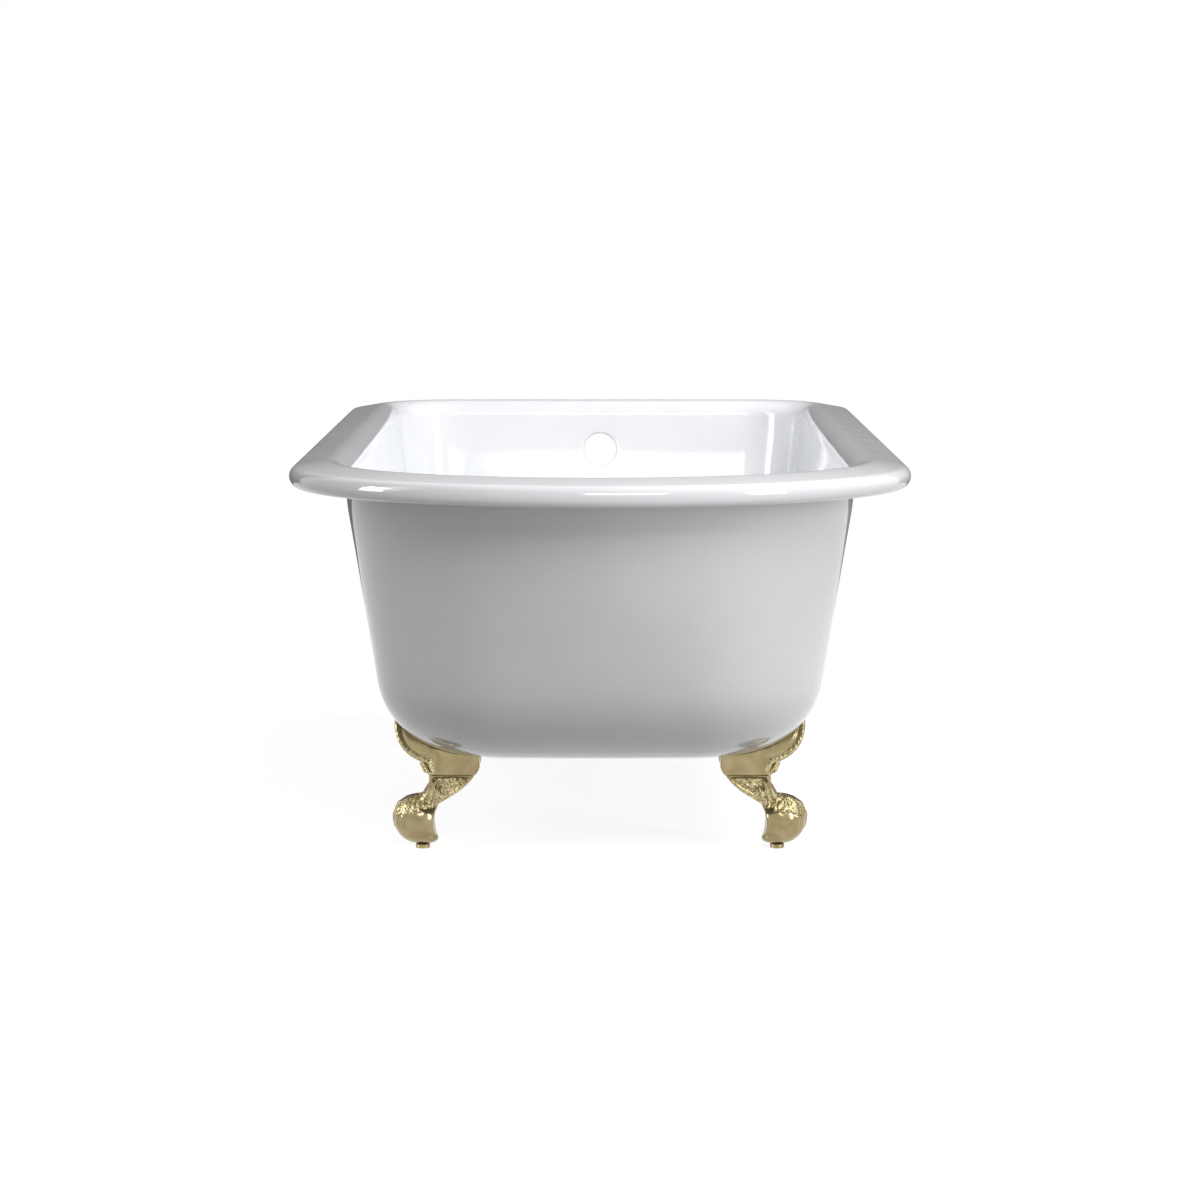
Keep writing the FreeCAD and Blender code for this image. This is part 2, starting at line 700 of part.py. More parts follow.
def make_foot(corner):
    """Ball-and-claw foot with its plate, boss recess, stud hole and screw bore."""
    body = new_body(f"foot_{corner}")
    bracket(body)
    taper(body)
    scroll(body)
    ball(body)
    hollow(body)
    seat(body)
    recess = "Sizes.boss_diameter / 2 + Sizes.hole_clearance"
    stud_cut(body, "boss_recess", "Sizes.side_radius - Sizes.boss_height", recess, "2 * Sizes.boss_height")
    hole = "Sizes.stud_diameter / 2 + Sizes.hole_clearance"
    stud_cut(body, "stud_hole", "Sizes.side_radius", hole, f"{NUT_FACE} - Sizes.side_radius")
    face = "Sizes.washer_diameter / 2 + Sizes.hole_clearance"
    stud_cut(body, "washer_face", CLAMP_FACE, face, "Sizes.nut_height + Sizes.washer_thickness")
    bore = sketch_on(body, f"{body.Label}_bore_circle", "XY_Plane")
    draw_circle(bore, PAD_INSET, "0", "Sizes.screw_diameter / 2 + Sizes.thread_clearance")
    pocket(body, f"{body.Label}_bore", bore, f"{SCREW_TOP} + 4 * Sizes.screw_chamfer", reverse=True)
    body.Placement = foot_placement(corner)
    return body


# Fixings

def make_stud(corner):
    """Stud screwed into the bath's boss."""
    body = new_body(f"fixing_stud_{corner}")
    end = sketch_on(body, f"{body.Label}_end", "XY_Plane")
    draw_circle(end, "0", "0", "Sizes.stud_diameter / 2")
    shank = pad(body, f"{body.Label}_shank", end, STUD_LENGTH)
    edges = ring_edges(shank, (0, number(STUD_LENGTH)))
    chamfer(body, f"{body.Label}_chamfer", shank, edges, "Sizes.stud_chamfer")
    body.Placement = foot_placement(corner) * stud_placement(number(f"{BOSS_FACE} - Sizes.stud_depth"))
    return body


def make_washer(corner):
    """Washer between the foot and the nut."""
    body = new_body(f"washer_{corner}")
    ring = sketch_on(body, f"{body.Label}_ring", "XY_Plane")
    draw_circle(ring, "0", "0", "Sizes.washer_diameter / 2")
    draw_circle(ring, "0", "0", "Sizes.stud_diameter / 2 + Sizes.hole_clearance")
    pad(body, f"{body.Label}_plate", ring, "Sizes.washer_thickness")
    body.Placement = foot_placement(corner) * stud_placement(number(CLAMP_FACE))
    return body


def make_nut(corner):
    """Hexagon nut on the stud."""
    body = new_body(f"nut_{corner}")
    end = sketch_on(body, f"{body.Label}_end", "XY_Plane")
    draw_outline(end, hexagon("Sizes.nut_flats"))
    draw_circle(end, "0", "0", "Sizes.stud_diameter / 2 + Sizes.thread_clearance")
    pad(body, f"{body.Label}_block", end, "Sizes.nut_height")
    body.Placement = foot_placement(corner) * stud_placement(number(WASHER_FACE))
    return body


# Levelling screws

def pad_placement(corner):
    """Frame of a levelling pad, on the floor under the ball."""
    inset = FreeCAD.Vector(number(PAD_INSET), 0, 0)
    return foot_placement(corner) * FreeCAD.Placement(inset, FreeCAD.Rotation())


def make_pad(corner):
    """Round pad that stands on the floor under the ball."""
    body = new_body(f"levelling_pad_{corner}")
    disc = sketch_on(body, f"{body.Label}_disc", "XY_Plane")
    draw_circle(disc, "0", "0", "Sizes.pad_diameter / 2")
    block = pad(body, f"{body.Label}_block", disc, "Sizes.pad_height")
    edges = ring_edges(block, (0, size("pad_height")))
    chamfer(body, f"{body.Label}_chamfer", block, edges, "Sizes.pad_chamfer")
    top = FreeCAD.Placement(FreeCAD.Vector(0, 0, size("pad_height")), FreeCAD.Rotation())
    socket = sketch_on(body, f"{body.Label}_socket_circle", "XY_Plane", top)
    socket.setExpression("AttachmentOffset.Base.z", "Sizes.pad_height")
    draw_circle(socket, "0", "0", "Sizes.nib_diameter / 2 + Sizes.nib_clearance")
    pocket(body, f"{body.Label}_socket", socket, "Sizes.socket_depth")
    body.Placement = pad_placement(corner)
    return body


def make_screw(corner):
    """Levelling screw: a nib in the pad, flats for a spanner and a threaded shank in the ball."""
    body = new_body(f"levelling_screw_{corner}")
    stages = [
        ("nib", "Sizes.pad_height - Sizes.socket_depth + Sizes.seat_gap", BALL_FLAT),
        ("flats", BALL_FLAT, f"{BALL_FLAT} + Sizes.screw_flats_length"),
        ("shank", f"{BALL_FLAT} + Sizes.screw_flats_length", SCREW_TOP),
    ]
    for name, low, high in stages:
        level = FreeCAD.Placement(FreeCAD.Vector(0, 0, number(low)), FreeCAD.Rotation())
        end = sketch_on(body, f"{body.Label}_{name}_end", "XY_Plane", level)
        end.setExpression("AttachmentOffset.Base.z", low)
        if name == "nib":
            draw_circle(end, "0", "0", "Sizes.nib_diameter / 2")
        elif name == "flats":
            draw_outline(end, hexagon("Sizes.screw_flats"))
        else:
            draw_circle(end, "0", "0", "Sizes.screw_diameter / 2")
        last = pad(body, f"{body.Label}_{name}", end, f"{high} - ({low})")
    edges = ring_edges(last, (number(SCREW_TOP),))
    chamfer(body, f"{body.Label}_chamfer", last, edges, "Sizes.screw_chamfer")
    body.Placement = pad_placement(corner)
    return body


pieces = [make_tub()]
for corner in FOOT_SPOTS:
    for make in (make_foot, make_stud, make_washer, make_nut, make_screw, make_pad):
        pieces.append(make(corner))
doc.recompute()

for item in doc.Objects:
    if "Invalid" in item.State or "Error" in item.State:
        raise ValueError(f"{item.Label} failed: {item.State}")
for piece in pieces:
    if piece.Shape.isNull() or not piece.Shape.isValid():
        raise ValueError(f"{piece.Label} has no valid shape")
    if len(piece.Shape.Solids) != 1:
        raise ValueError(f"{piece.Label} has {len(piece.Shape.Solids)} solids")

os.makedirs("parts", exist_ok=True)
for piece in pieces:
    piece.Shape.exportStep(f"parts/{piece.Label}.step")
    print(f"{piece.Label}: {piece.Shape.Volume:.0f} mm3")
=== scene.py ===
"""Looks of a cast iron roll-top bath on four brass ball-and-claw feet, seen end-on from its round head."""

from __future__ import annotations

import logging
import math
from collections.abc import Sequence
from dataclasses import dataclass, field
from enum import Enum

import bpy
import numpy as np
from bpy.types import ID, Material, Mesh, Node, NodeOutputs, NodeSocket, NodeTree, Object
from mathutils import Matrix, Vector


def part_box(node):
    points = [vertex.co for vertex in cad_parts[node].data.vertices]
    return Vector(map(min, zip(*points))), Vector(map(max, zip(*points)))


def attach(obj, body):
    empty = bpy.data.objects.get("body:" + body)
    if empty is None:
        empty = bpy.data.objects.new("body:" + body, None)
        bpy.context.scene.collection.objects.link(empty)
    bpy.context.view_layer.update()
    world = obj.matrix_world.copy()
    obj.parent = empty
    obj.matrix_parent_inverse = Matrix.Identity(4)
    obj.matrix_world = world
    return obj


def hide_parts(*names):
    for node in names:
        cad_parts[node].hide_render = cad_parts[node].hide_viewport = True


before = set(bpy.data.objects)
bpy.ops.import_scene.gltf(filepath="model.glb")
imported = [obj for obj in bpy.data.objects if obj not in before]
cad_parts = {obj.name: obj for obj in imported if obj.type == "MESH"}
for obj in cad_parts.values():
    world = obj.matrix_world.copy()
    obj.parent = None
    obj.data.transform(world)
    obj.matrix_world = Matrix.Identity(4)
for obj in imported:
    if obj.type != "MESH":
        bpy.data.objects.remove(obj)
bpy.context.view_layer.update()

Pair = tuple[float, float]
Triple = tuple[float, float, float]

MM = 0.001
QUARTER_TURN = math.pi / 2
WHITE = (1.0, 1.0, 1.0, 1.0)

log = logging.getLogger("bath")


class Skin(Enum):
    """The two faces of the tub's wall, valued by how many wall thicknesses they lie inwards."""

    OUTER = 0
    INNER = 1


class Mask(Enum):
    """What the sculpted feet tell their brass, point by point."""

    # where the brass is darkened in hollows, as tarnish and as painted shade
    HOLLOW_TARNISH_AND_SHADE = "recess"
    CHASING = "chasing"


class Corner(Enum):
    """The four corners the bath stands on, valued as the frame names them."""

    HEAD_RIGHT = "head_right"
    HEAD_LEFT = "head_left"
    TAP_RIGHT = "tap_right"
    TAP_LEFT = "tap_left"

    @property
    def turn(self) -> float:
        """Turn about the upright that points the foot outwards on this side."""
        return 0.0 if self.value.endswith("right") else math.pi


class Wiring:
    """Adds nodes to a tree and joins them."""

    def __init__(self, tree: NodeTree) -> None:
        """Starts on a tree.

        Args:
            tree: The node tree of a material, a world or a group.
        """
        self.tree = tree

    def add(self, kind: str, inputs: dict[str | int, object] | None = None, **settings: object) -> Node:
        """Adds one node.

        Args:
            kind: The node's type.
            inputs: A constant or a socket to join for each named or numbered input.
            settings: Plain properties of the node.

        Returns:
            The new node.
        """
        node = self.tree.nodes.new(kind)
        for name, value in settings.items():
            setattr(node, name, value)
        for key, value in (inputs or {}).items():
            if isinstance(value, NodeSocket):
                self.tree.links.new(value, node.inputs[key])
            else:
                node.inputs[key].default_value = value
        return node

    def math(self, operation: str, first: object, second: object = 0.0, clamp: bool = False) -> NodeSocket:
        """Adds a sum on one or two values.

        Args:
            operation: The sum's name.
            first: A constant or a socket.
            second: A constant or a socket.
            clamp: Whether the outcome is kept between 0 and 1.

        Returns:
            The outcome's socket.
        """
        node = self.add("ShaderNodeMath", {0: first, 1: second}, operation=operation, use_clamp=clamp)
        return node.outputs[0]

    def blend(self, share: object, first: object, second: object) -> NodeSocket:
        """Blends two colours.

        Args:
            share: How much of the second colour shows.
            first: A colour or a socket.
            second: A colour or a socket.

        Returns:
            The blended colour's socket.
        """
        node = self.add("ShaderNodeMix", {0: share, 6: first, 7: second}, data_type="RGBA")
        return node.outputs[2]

    def surface(self, inputs: dict[str | int, object]) -> None:
        """Ends a material in one principled shader.

        Args:
            inputs: A constant or a socket for each of the shader's inputs.
        """
        shader = self.add("ShaderNodeBsdfPrincipled", inputs)
        self.add("ShaderNodeOutputMaterial", {"Surface": shader.outputs["BSDF"]})


def rgba(colour: Sequence[float]) -> tuple[float, float, float, float]:
    """Gives a colour its full alpha.

    Args:
        colour: Linear red, green and blue.

    Returns:
        The same colour with alpha 1.
    """
    return (colour[0], colour[1], colour[2], 1.0)


def new_group(
    name: str, inputs: dict[str, float], output: str
) -> tuple[NodeTree, Wiring, NodeOutputs, NodeSocket]:
    """Starts a shader node group with number inputs and one number output.

    Args:
        name: The group's name.
        inputs: Each input's name and its usual value.
        output: The output's name.

    Returns:
        The group, the wiring on it, what it is given and the place on the object.
    """
    group = bpy.data.node_groups.new(name, "ShaderNodeTree")
    for label, value in inputs.items():
        socket = group.interface.new_socket(name=label, in_out="INPUT", socket_type="NodeSocketFloat")
        socket.default_value = value
    group.interface.new_socket(name=output, in_out="OUTPUT", socket_type="NodeSocketFloat")
    wiring = Wiring(group)
    given = wiring.add("NodeGroupInput").outputs
    place = wiring.add("ShaderNodeTexCoord").outputs["Object"]
    return group, wiring, given, place


@dataclass
class SharedEffects:
    """Surface effects that several finishes use, one node group each."""

    cloud_detail: float = 4.0
    cloud_roughness: float = 0.55
    cloud_edges: Pair = (0.34, 0.66)
    fine_detail: float = 3.0
    broad_detail: float = 2.0
    broad_share: float = 0.12
    mottle: NodeTree | None = None
    grain: NodeTree | None = None

    def build(self) -> None:
        """Makes the node groups."""
        self.mottle = self._mottle()
        self.grain = self._grain()

    def _mottle(self) -> NodeTree:
        """Makes slow cloudy change between two values.

        Returns:
            The group, with inputs Scale, Low and High and the output Value.
        """
        usual = {"Scale": 8.0, "Low": 0.0, "High": 1.0}
        group, wiring, given, place = new_group("slow_mottle", usual, "Value")
        noise = wiring.add(
            "ShaderNodeTexNoise",
            {
                "Vector": place,
                "Scale": given["Scale"],
                "Detail": self.cloud_detail,
                "Roughness": self.cloud_roughness,
            },
        )
        low_edge, high_edge = self.cloud_edges
        spread = wiring.add(
            "ShaderNodeMapRange",
            {
                "Value": noise.outputs["Fac"],
                "From Min": low_edge,
                "From Max": high_edge,
                "To Min": given["Low"],
                "To Max": given["High"],
            },
            interpolation_type="SMOOTHSTEP",
        )
        wiring.add("NodeGroupOutput", {"Value": spread.outputs["Result"]})
        return group

    def _grain(self) -> NodeTree:
        """Makes the height of a fine casting or glaze grain.

        Returns:
            The group, with inputs Scale and Share and the output Height.
        """
        usual = {"Scale": 400.0, "Share": 0.5}
        group, wiring, given, place = new_group("fine_grain", usual, "Height")
        broad_scale = wiring.math("MULTIPLY", given["Scale"], self.broad_share)
        fine, broad = (
            wiring.add("ShaderNodeTexNoise", {"Vector": place, "Scale": scale, "Detail": detail})
            for scale, detail in ((given["Scale"], self.fine_detail), (broad_scale, self.broad_detail))
        )
        height = wiring.add(
            "ShaderNodeMix",
            {0: given["Share"], 2: broad.outputs["Fac"], 3: fine.outputs["Fac"]},
            data_type="FLOAT",
        )
        wiring.add("NodeGroupOutput", {"Height": height.outputs[0]})
        return group

    def mottled(self, wiring: Wiring, scale: float, low: float, high: float) -> NodeSocket:
        """Uses the mottle in a material.

        Args:
            wiring: The material's wiring.
            scale: Clouds per metre.
            low: The value in the clouds' gaps.
            high: The value in the clouds.

        Returns:
            The value's socket.
        """
        inputs = {"Scale": scale, "Low": low, "High": high}
        return wiring.add("ShaderNodeGroup", inputs, node_tree=self.mottle).outputs["Value"]

    def grained(self, wiring: Wiring, scale: float, share: float) -> NodeSocket:
        """Uses the grain in a material.

        Args:
            wiring: The material's wiring.
            scale: Grains per metre.
            share: How much of the height is fine.

        Returns:
            The height's socket.
        """
        inputs = {"Scale": scale, "Share": share}
        return wiring.add("ShaderNodeGroup", inputs, node_tree=self.grain).outputs["Height"]


def bumped(wiring: Wiring, height: NodeSocket, depth: float) -> NodeSocket:
    """Turns a height into a bumped normal.

    Args:
        wiring: The material's wiring.
        height: The height's socket.
        depth: How deep a height of 1 is, in metres.

    Returns:
        The normal's socket.
    """
    bump = wiring.add("ShaderNodeBump", {"Strength": 1.0, "Distance": depth, "Height": height})
    return bump.outputs["Normal"]


def new_material(name: str) -> tuple[Material, Wiring]:
    """Starts an empty node material.

    Args:
        name: The material's name.

    Returns:
        The material and the wiring on its tree.
    """
    material = bpy.data.materials.new(name)
    material.use_nodes = True
    material.node_tree.nodes.clear()
    return material, Wiring(material.node_tree)


@dataclass(frozen=True)
class Enamel:
    """White vitreous enamel on iron: a glassy coat, a little uneven."""

    colour: Triple = (0.843, 0.851, 0.872)
    cool: Triple = (0.81, 0.82, 0.838)
    roughness_low: float = 0.060
    roughness_high: float = 0.074
    cloud_scale: float = 5.0
    gloss_scale: float = 14.0
    refraction: float = 1.52
    ripple_scale: float = 40.0
    ripple_share: float = 0.25
    ripple_depth: float = 0.0000012

    def material(self, effects: SharedEffects) -> Material:
        """Makes the enamel.

        Args:
            effects: The shared effects.

        Returns:
            The material.
        """
        material, wiring = new_material("white_enamel")
        clouds = effects.mottled(wiring, self.cloud_scale, 0.0, 1.0)
        gloss = effects.mottled(wiring, self.gloss_scale, self.roughness_low, self.roughness_high)
        ripple = effects.grained(wiring, self.ripple_scale, self.ripple_share)
        wiring.surface(
            {
                "Base Color": wiring.blend(clouds, rgba(self.colour), rgba(self.cool)),
                "Roughness": gloss,
                "IOR": self.refraction,
                "Normal": bumped(wiring, ripple, self.ripple_depth),
            }
        )
        return material


@dataclass(frozen=True)
class CastBrass:
    """Polished cast brass, its hollows darkened as tarnish and painted shade, its chased crests painted pale
    as worn-bright metal and painted glints.
    """

    colour: Triple = (0.30, 0.24, 0.122)
    pale: Triple = (0.38, 0.315, 0.17)
    # colour of tarnish and painted shade, laid in the hollows and in the pits of the chasing
    tarnish_and_shade_colour: Triple = (0.15, 0.113, 0.05)
    roughness: float = 0.16
    tarnish_roughness: float = 0.20
    grain_scale: float = 900.0
    grain_depth: float = 0.00010
    # pale colour of the chased crests: worn-bright metal and a painted glint
    chased: Triple = (0.80, 0.71, 0.41)
    chasing_scale: float = 620.0
    chasing_times: float = 9.0
    chasing_roughness: float = 0.16
    chasing_share: float = 0.8
    crest_edges: Pair = (0.40, 0.60)
    grain_share: float = 0.45
    pale_scale: float = 35.0
    hollow_patch_scale: float = 90.0
    hollow_patch_range: Pair = (0.75, 1.25)
    handled_scale: float = 60.0
    handled_range: Pair = (-0.03, 0.05)

    def material(self, effects: SharedEffects) -> Material:
        """Makes the brass.

        Args:
            effects: The shared effects.

        Returns:
            The material.
        """
        material, wiring = new_material("polished_cast_brass")
        hollow, chasing = (
            wiring.add("ShaderNodeAttribute", attribute_name=mask, attribute_type="GEOMETRY").outputs["Fac"]
            for mask in (Mask.HOLLOW_TARNISH_AND_SHADE.value, Mask.CHASING.value)
        )
        # Hollows are darkened towards the dark colour, partly as tarnish and partly as painted shade standing
        # in for occlusion.
        patchy = effects.mottled(wiring, self.hollow_patch_scale, *self.hollow_patch_range)
        hollow_tarnish_and_shade = wiring.math("MULTIPLY", hollow, patchy, clamp=True)
        paler = effects.mottled(wiring, self.pale_scale, 0.0, 1.0)
        bright = wiring.blend(paler, rgba(self.colour), rgba(self.pale))
        # The chased grain's crests are painted pale, as worn-bright metal and as painted glints; its pits
        # take the dark colour, as tarnish and painted shade.
        strokes = effects.grained(wiring, self.chasing_scale, self.chasing_share)
        low, high = self.crest_edges
        crests = wiring.add("ShaderNodeMapRange", {"Value": strokes, "From Min": low, "From Max": high})
        worn = wiring.blend(crests.outputs["Result"], rgba(self.tarnish_and_shade_colour), rgba(self.chased))
        bright = wiring.blend(chasing, bright, worn)
        wear = wiring.math("MULTIPLY", hollow_tarnish_and_shade, self.tarnish_roughness)
        wear = wiring.math("ADD", wear, wiring.math("MULTIPLY", chasing, self.chasing_roughness))
        least, most = (self.roughness + change for change in self.handled_range)
        handled = effects.mottled(wiring, self.handled_scale, least, most)
        height = wiring.math("MULTIPLY", wiring.math("MULTIPLY", strokes, self.chasing_times), chasing)
        height = wiring.math("ADD", height, effects.grained(wiring, self.grain_scale, self.grain_share))
        wiring.surface(
            {
                "Base Color": wiring.blend(hollow_tarnish_and_shade, bright, rgba(self.tarnish_and_shade_colour)),
                "Metallic": 1.0,
                "Roughness": wiring.math("ADD", handled, wear),
                "Normal": bumped(wiring, height, self.grain_depth),
            }
        )
        return material


@dataclass(frozen=True)
class TurnedMetal:
    """Metal off a lathe or a screw machine, with faint tool lines along its height."""

    name: str
    colour: Triple
    worn: Triple
    roughness: float = 0.22
    line_pitch: float = 0.0004
    line_depth: float = 0.00002
    grain_scale: float = 1500.0
    grain_share: float = 0.6
    patch_scale: float = 120.0
    gloss_scale: float = 200.0
    gloss_range: Pair = (-0.05, 0.08)

    def material(self, effects: SharedEffects) -> Material:
        """Makes the metal.

        Args:
            effects: The shared effects.

        Returns:
            The material.
        """
        material, wiring = new_material(self.name)
        place = wiring.add("ShaderNodeTexCoord")
        height = wiring.add("ShaderNodeSeparateXYZ", {"Vector": place.outputs["Object"]}).outputs["Z"]
        turns = wiring.math("MULTIPLY", height, math.tau / self.line_pitch)
        grain = effects.grained(wiring, self.grain_scale, self.grain_share)
        lines = wiring.math("ADD", wiring.math("SINE", turns), grain)
        patch = effects.mottled(wiring, self.patch_scale, 0.0, 1.0)
        least, most = (self.roughness + change for change in self.gloss_range)
        wiring.surface(
            {
                "Base Color": wiring.blend(patch, rgba(self.colour), rgba(self.worn)),
                "Metallic": 1.0,
                "Roughness": effects.mottled(wiring, self.gloss_scale, least, most),
                "Normal": bumped(wiring, lines, self.line_depth),
            }
        )
        return material


@dataclass
class Finishes:
    """Every material of the bath."""

    effects: SharedEffects = field(default_factory=SharedEffects)
    enamel: Material | None = None
    brass: Material | None = None
    pad_brass: Material | None = None
    zinc: Material | None = None
    steel: Material | None = None

    def build(self) -> None:
        """Makes the shared effects and the materials."""
        self.effects.build()
        self.enamel = Enamel().material(self.effects)
        self.brass = CastBrass().material(self.effects)
        self.pad_brass = TurnedMetal(
            name="turned_brass", colour=(0.40, 0.32, 0.165), worn=(0.30, 0.235, 0.115), roughness=0.16
        ).material(self.effects)
        self.zinc = TurnedMetal(
            name="zinc_plated_steel", colour=(0.60, 0.62, 0.64), worn=(0.48, 0.49, 0.47), roughness=0.34
        ).material(self.effects)
        self.steel = TurnedMetal(
            name="bright_screw_steel",
            colour=(0.52, 0.52, 0.52),
            worn=(0.40, 0.39, 0.38),
            roughness=0.26,
            line_pitch=0.0015,
            line_depth=0.0003,
        ).material(self.effects)


def new_object(name: str, data: ID) -> Object:
    """Puts a mesh, a lamp or a camera into the scene.

    Args:
        name: The object's name.
        data: Its mesh, lamp or camera.

    Returns:
        The linked object.
    """
    thing = bpy.data.objects.new(name, data)
    bpy.context.scene.collection.objects.link(thing)
    return thing


def ringed_solid(points: Sequence[Sequence[float]], rings: int, columns: int, name: str) -> Object:
    """Joins closed rings of points into a closed solid, capped at both ends.

    Args:
        points: The points, ring by ring.
        rings: How many rings.
        columns: How many points in each ring.
        name: The object's name.

    Returns:
        The object.
    """
    index = np.arange(rings * columns).reshape(rings, columns)
    after = np.roll(index, -1, axis=1)
    quads = np.stack([index[:-1], after[:-1], after[1:], index[1:]], axis=-1).reshape(-1, 4)
    mesh = bpy.data.meshes.new(name)
    mesh.from_pydata(points, [], quads.tolist() + [index[0][::-1].tolist(), index[-1].tolist()])
    return new_object(name, mesh)


def arc_points(centre: Sequence[float], radius: float, start: float, end: float, count: int) -> np.ndarray:
    """Points along an arc, its end left out.

    Args:
        centre: The arc's centre.
        radius: Its radius.
        start: The angle it starts at, anticlockwise from the first axis.
        end: The angle it ends at.
        count: How many points.

    Returns:
        One row per point.
    """
    angles = np.linspace(start, end, count, endpoint=False)
    return np.stack([centre[0] + radius * np.cos(angles), centre[1] + radius * np.sin(angles)], axis=1)


def bend_points(centre: np.ndarray, radius: float, start: float, end: float, count: int) -> np.ndarray:
    """Points along a bend of the rim's section, both ends kept.

    Args:
        centre: The bend's centre, as inset and height.
        radius: Its radius.
        start: The angle it starts at, from upright towards the nose.
        end: The angle it ends at.
        count: How many points.

    Returns:
        Rows of inset and height.
    """
    turns = np.linspace(start, end, count)[:, None]
    return centre + radius * np.concatenate([-np.sin(turns), np.cos(turns)], axis=1)


def line_points(start: Sequence[float], end: Sequence[float], count: int) -> np.ndarray:
    """Points along a line, its end left out.

    Args:
        start: Where it starts.
        end: Where it ends.
        count: How many points.

    Returns:
        One row per point.
    """
    shares = np.linspace(0.0, 1.0, count, endpoint=False)[:, None]
    return np.asarray(start) * (1 - shares) + np.asarray(end) * shares


@dataclass(frozen=True)
class WallFace:
    """How one side of the tub stands: its lean off the upright and the sweep at its foot."""

    lean: float
    radius: float


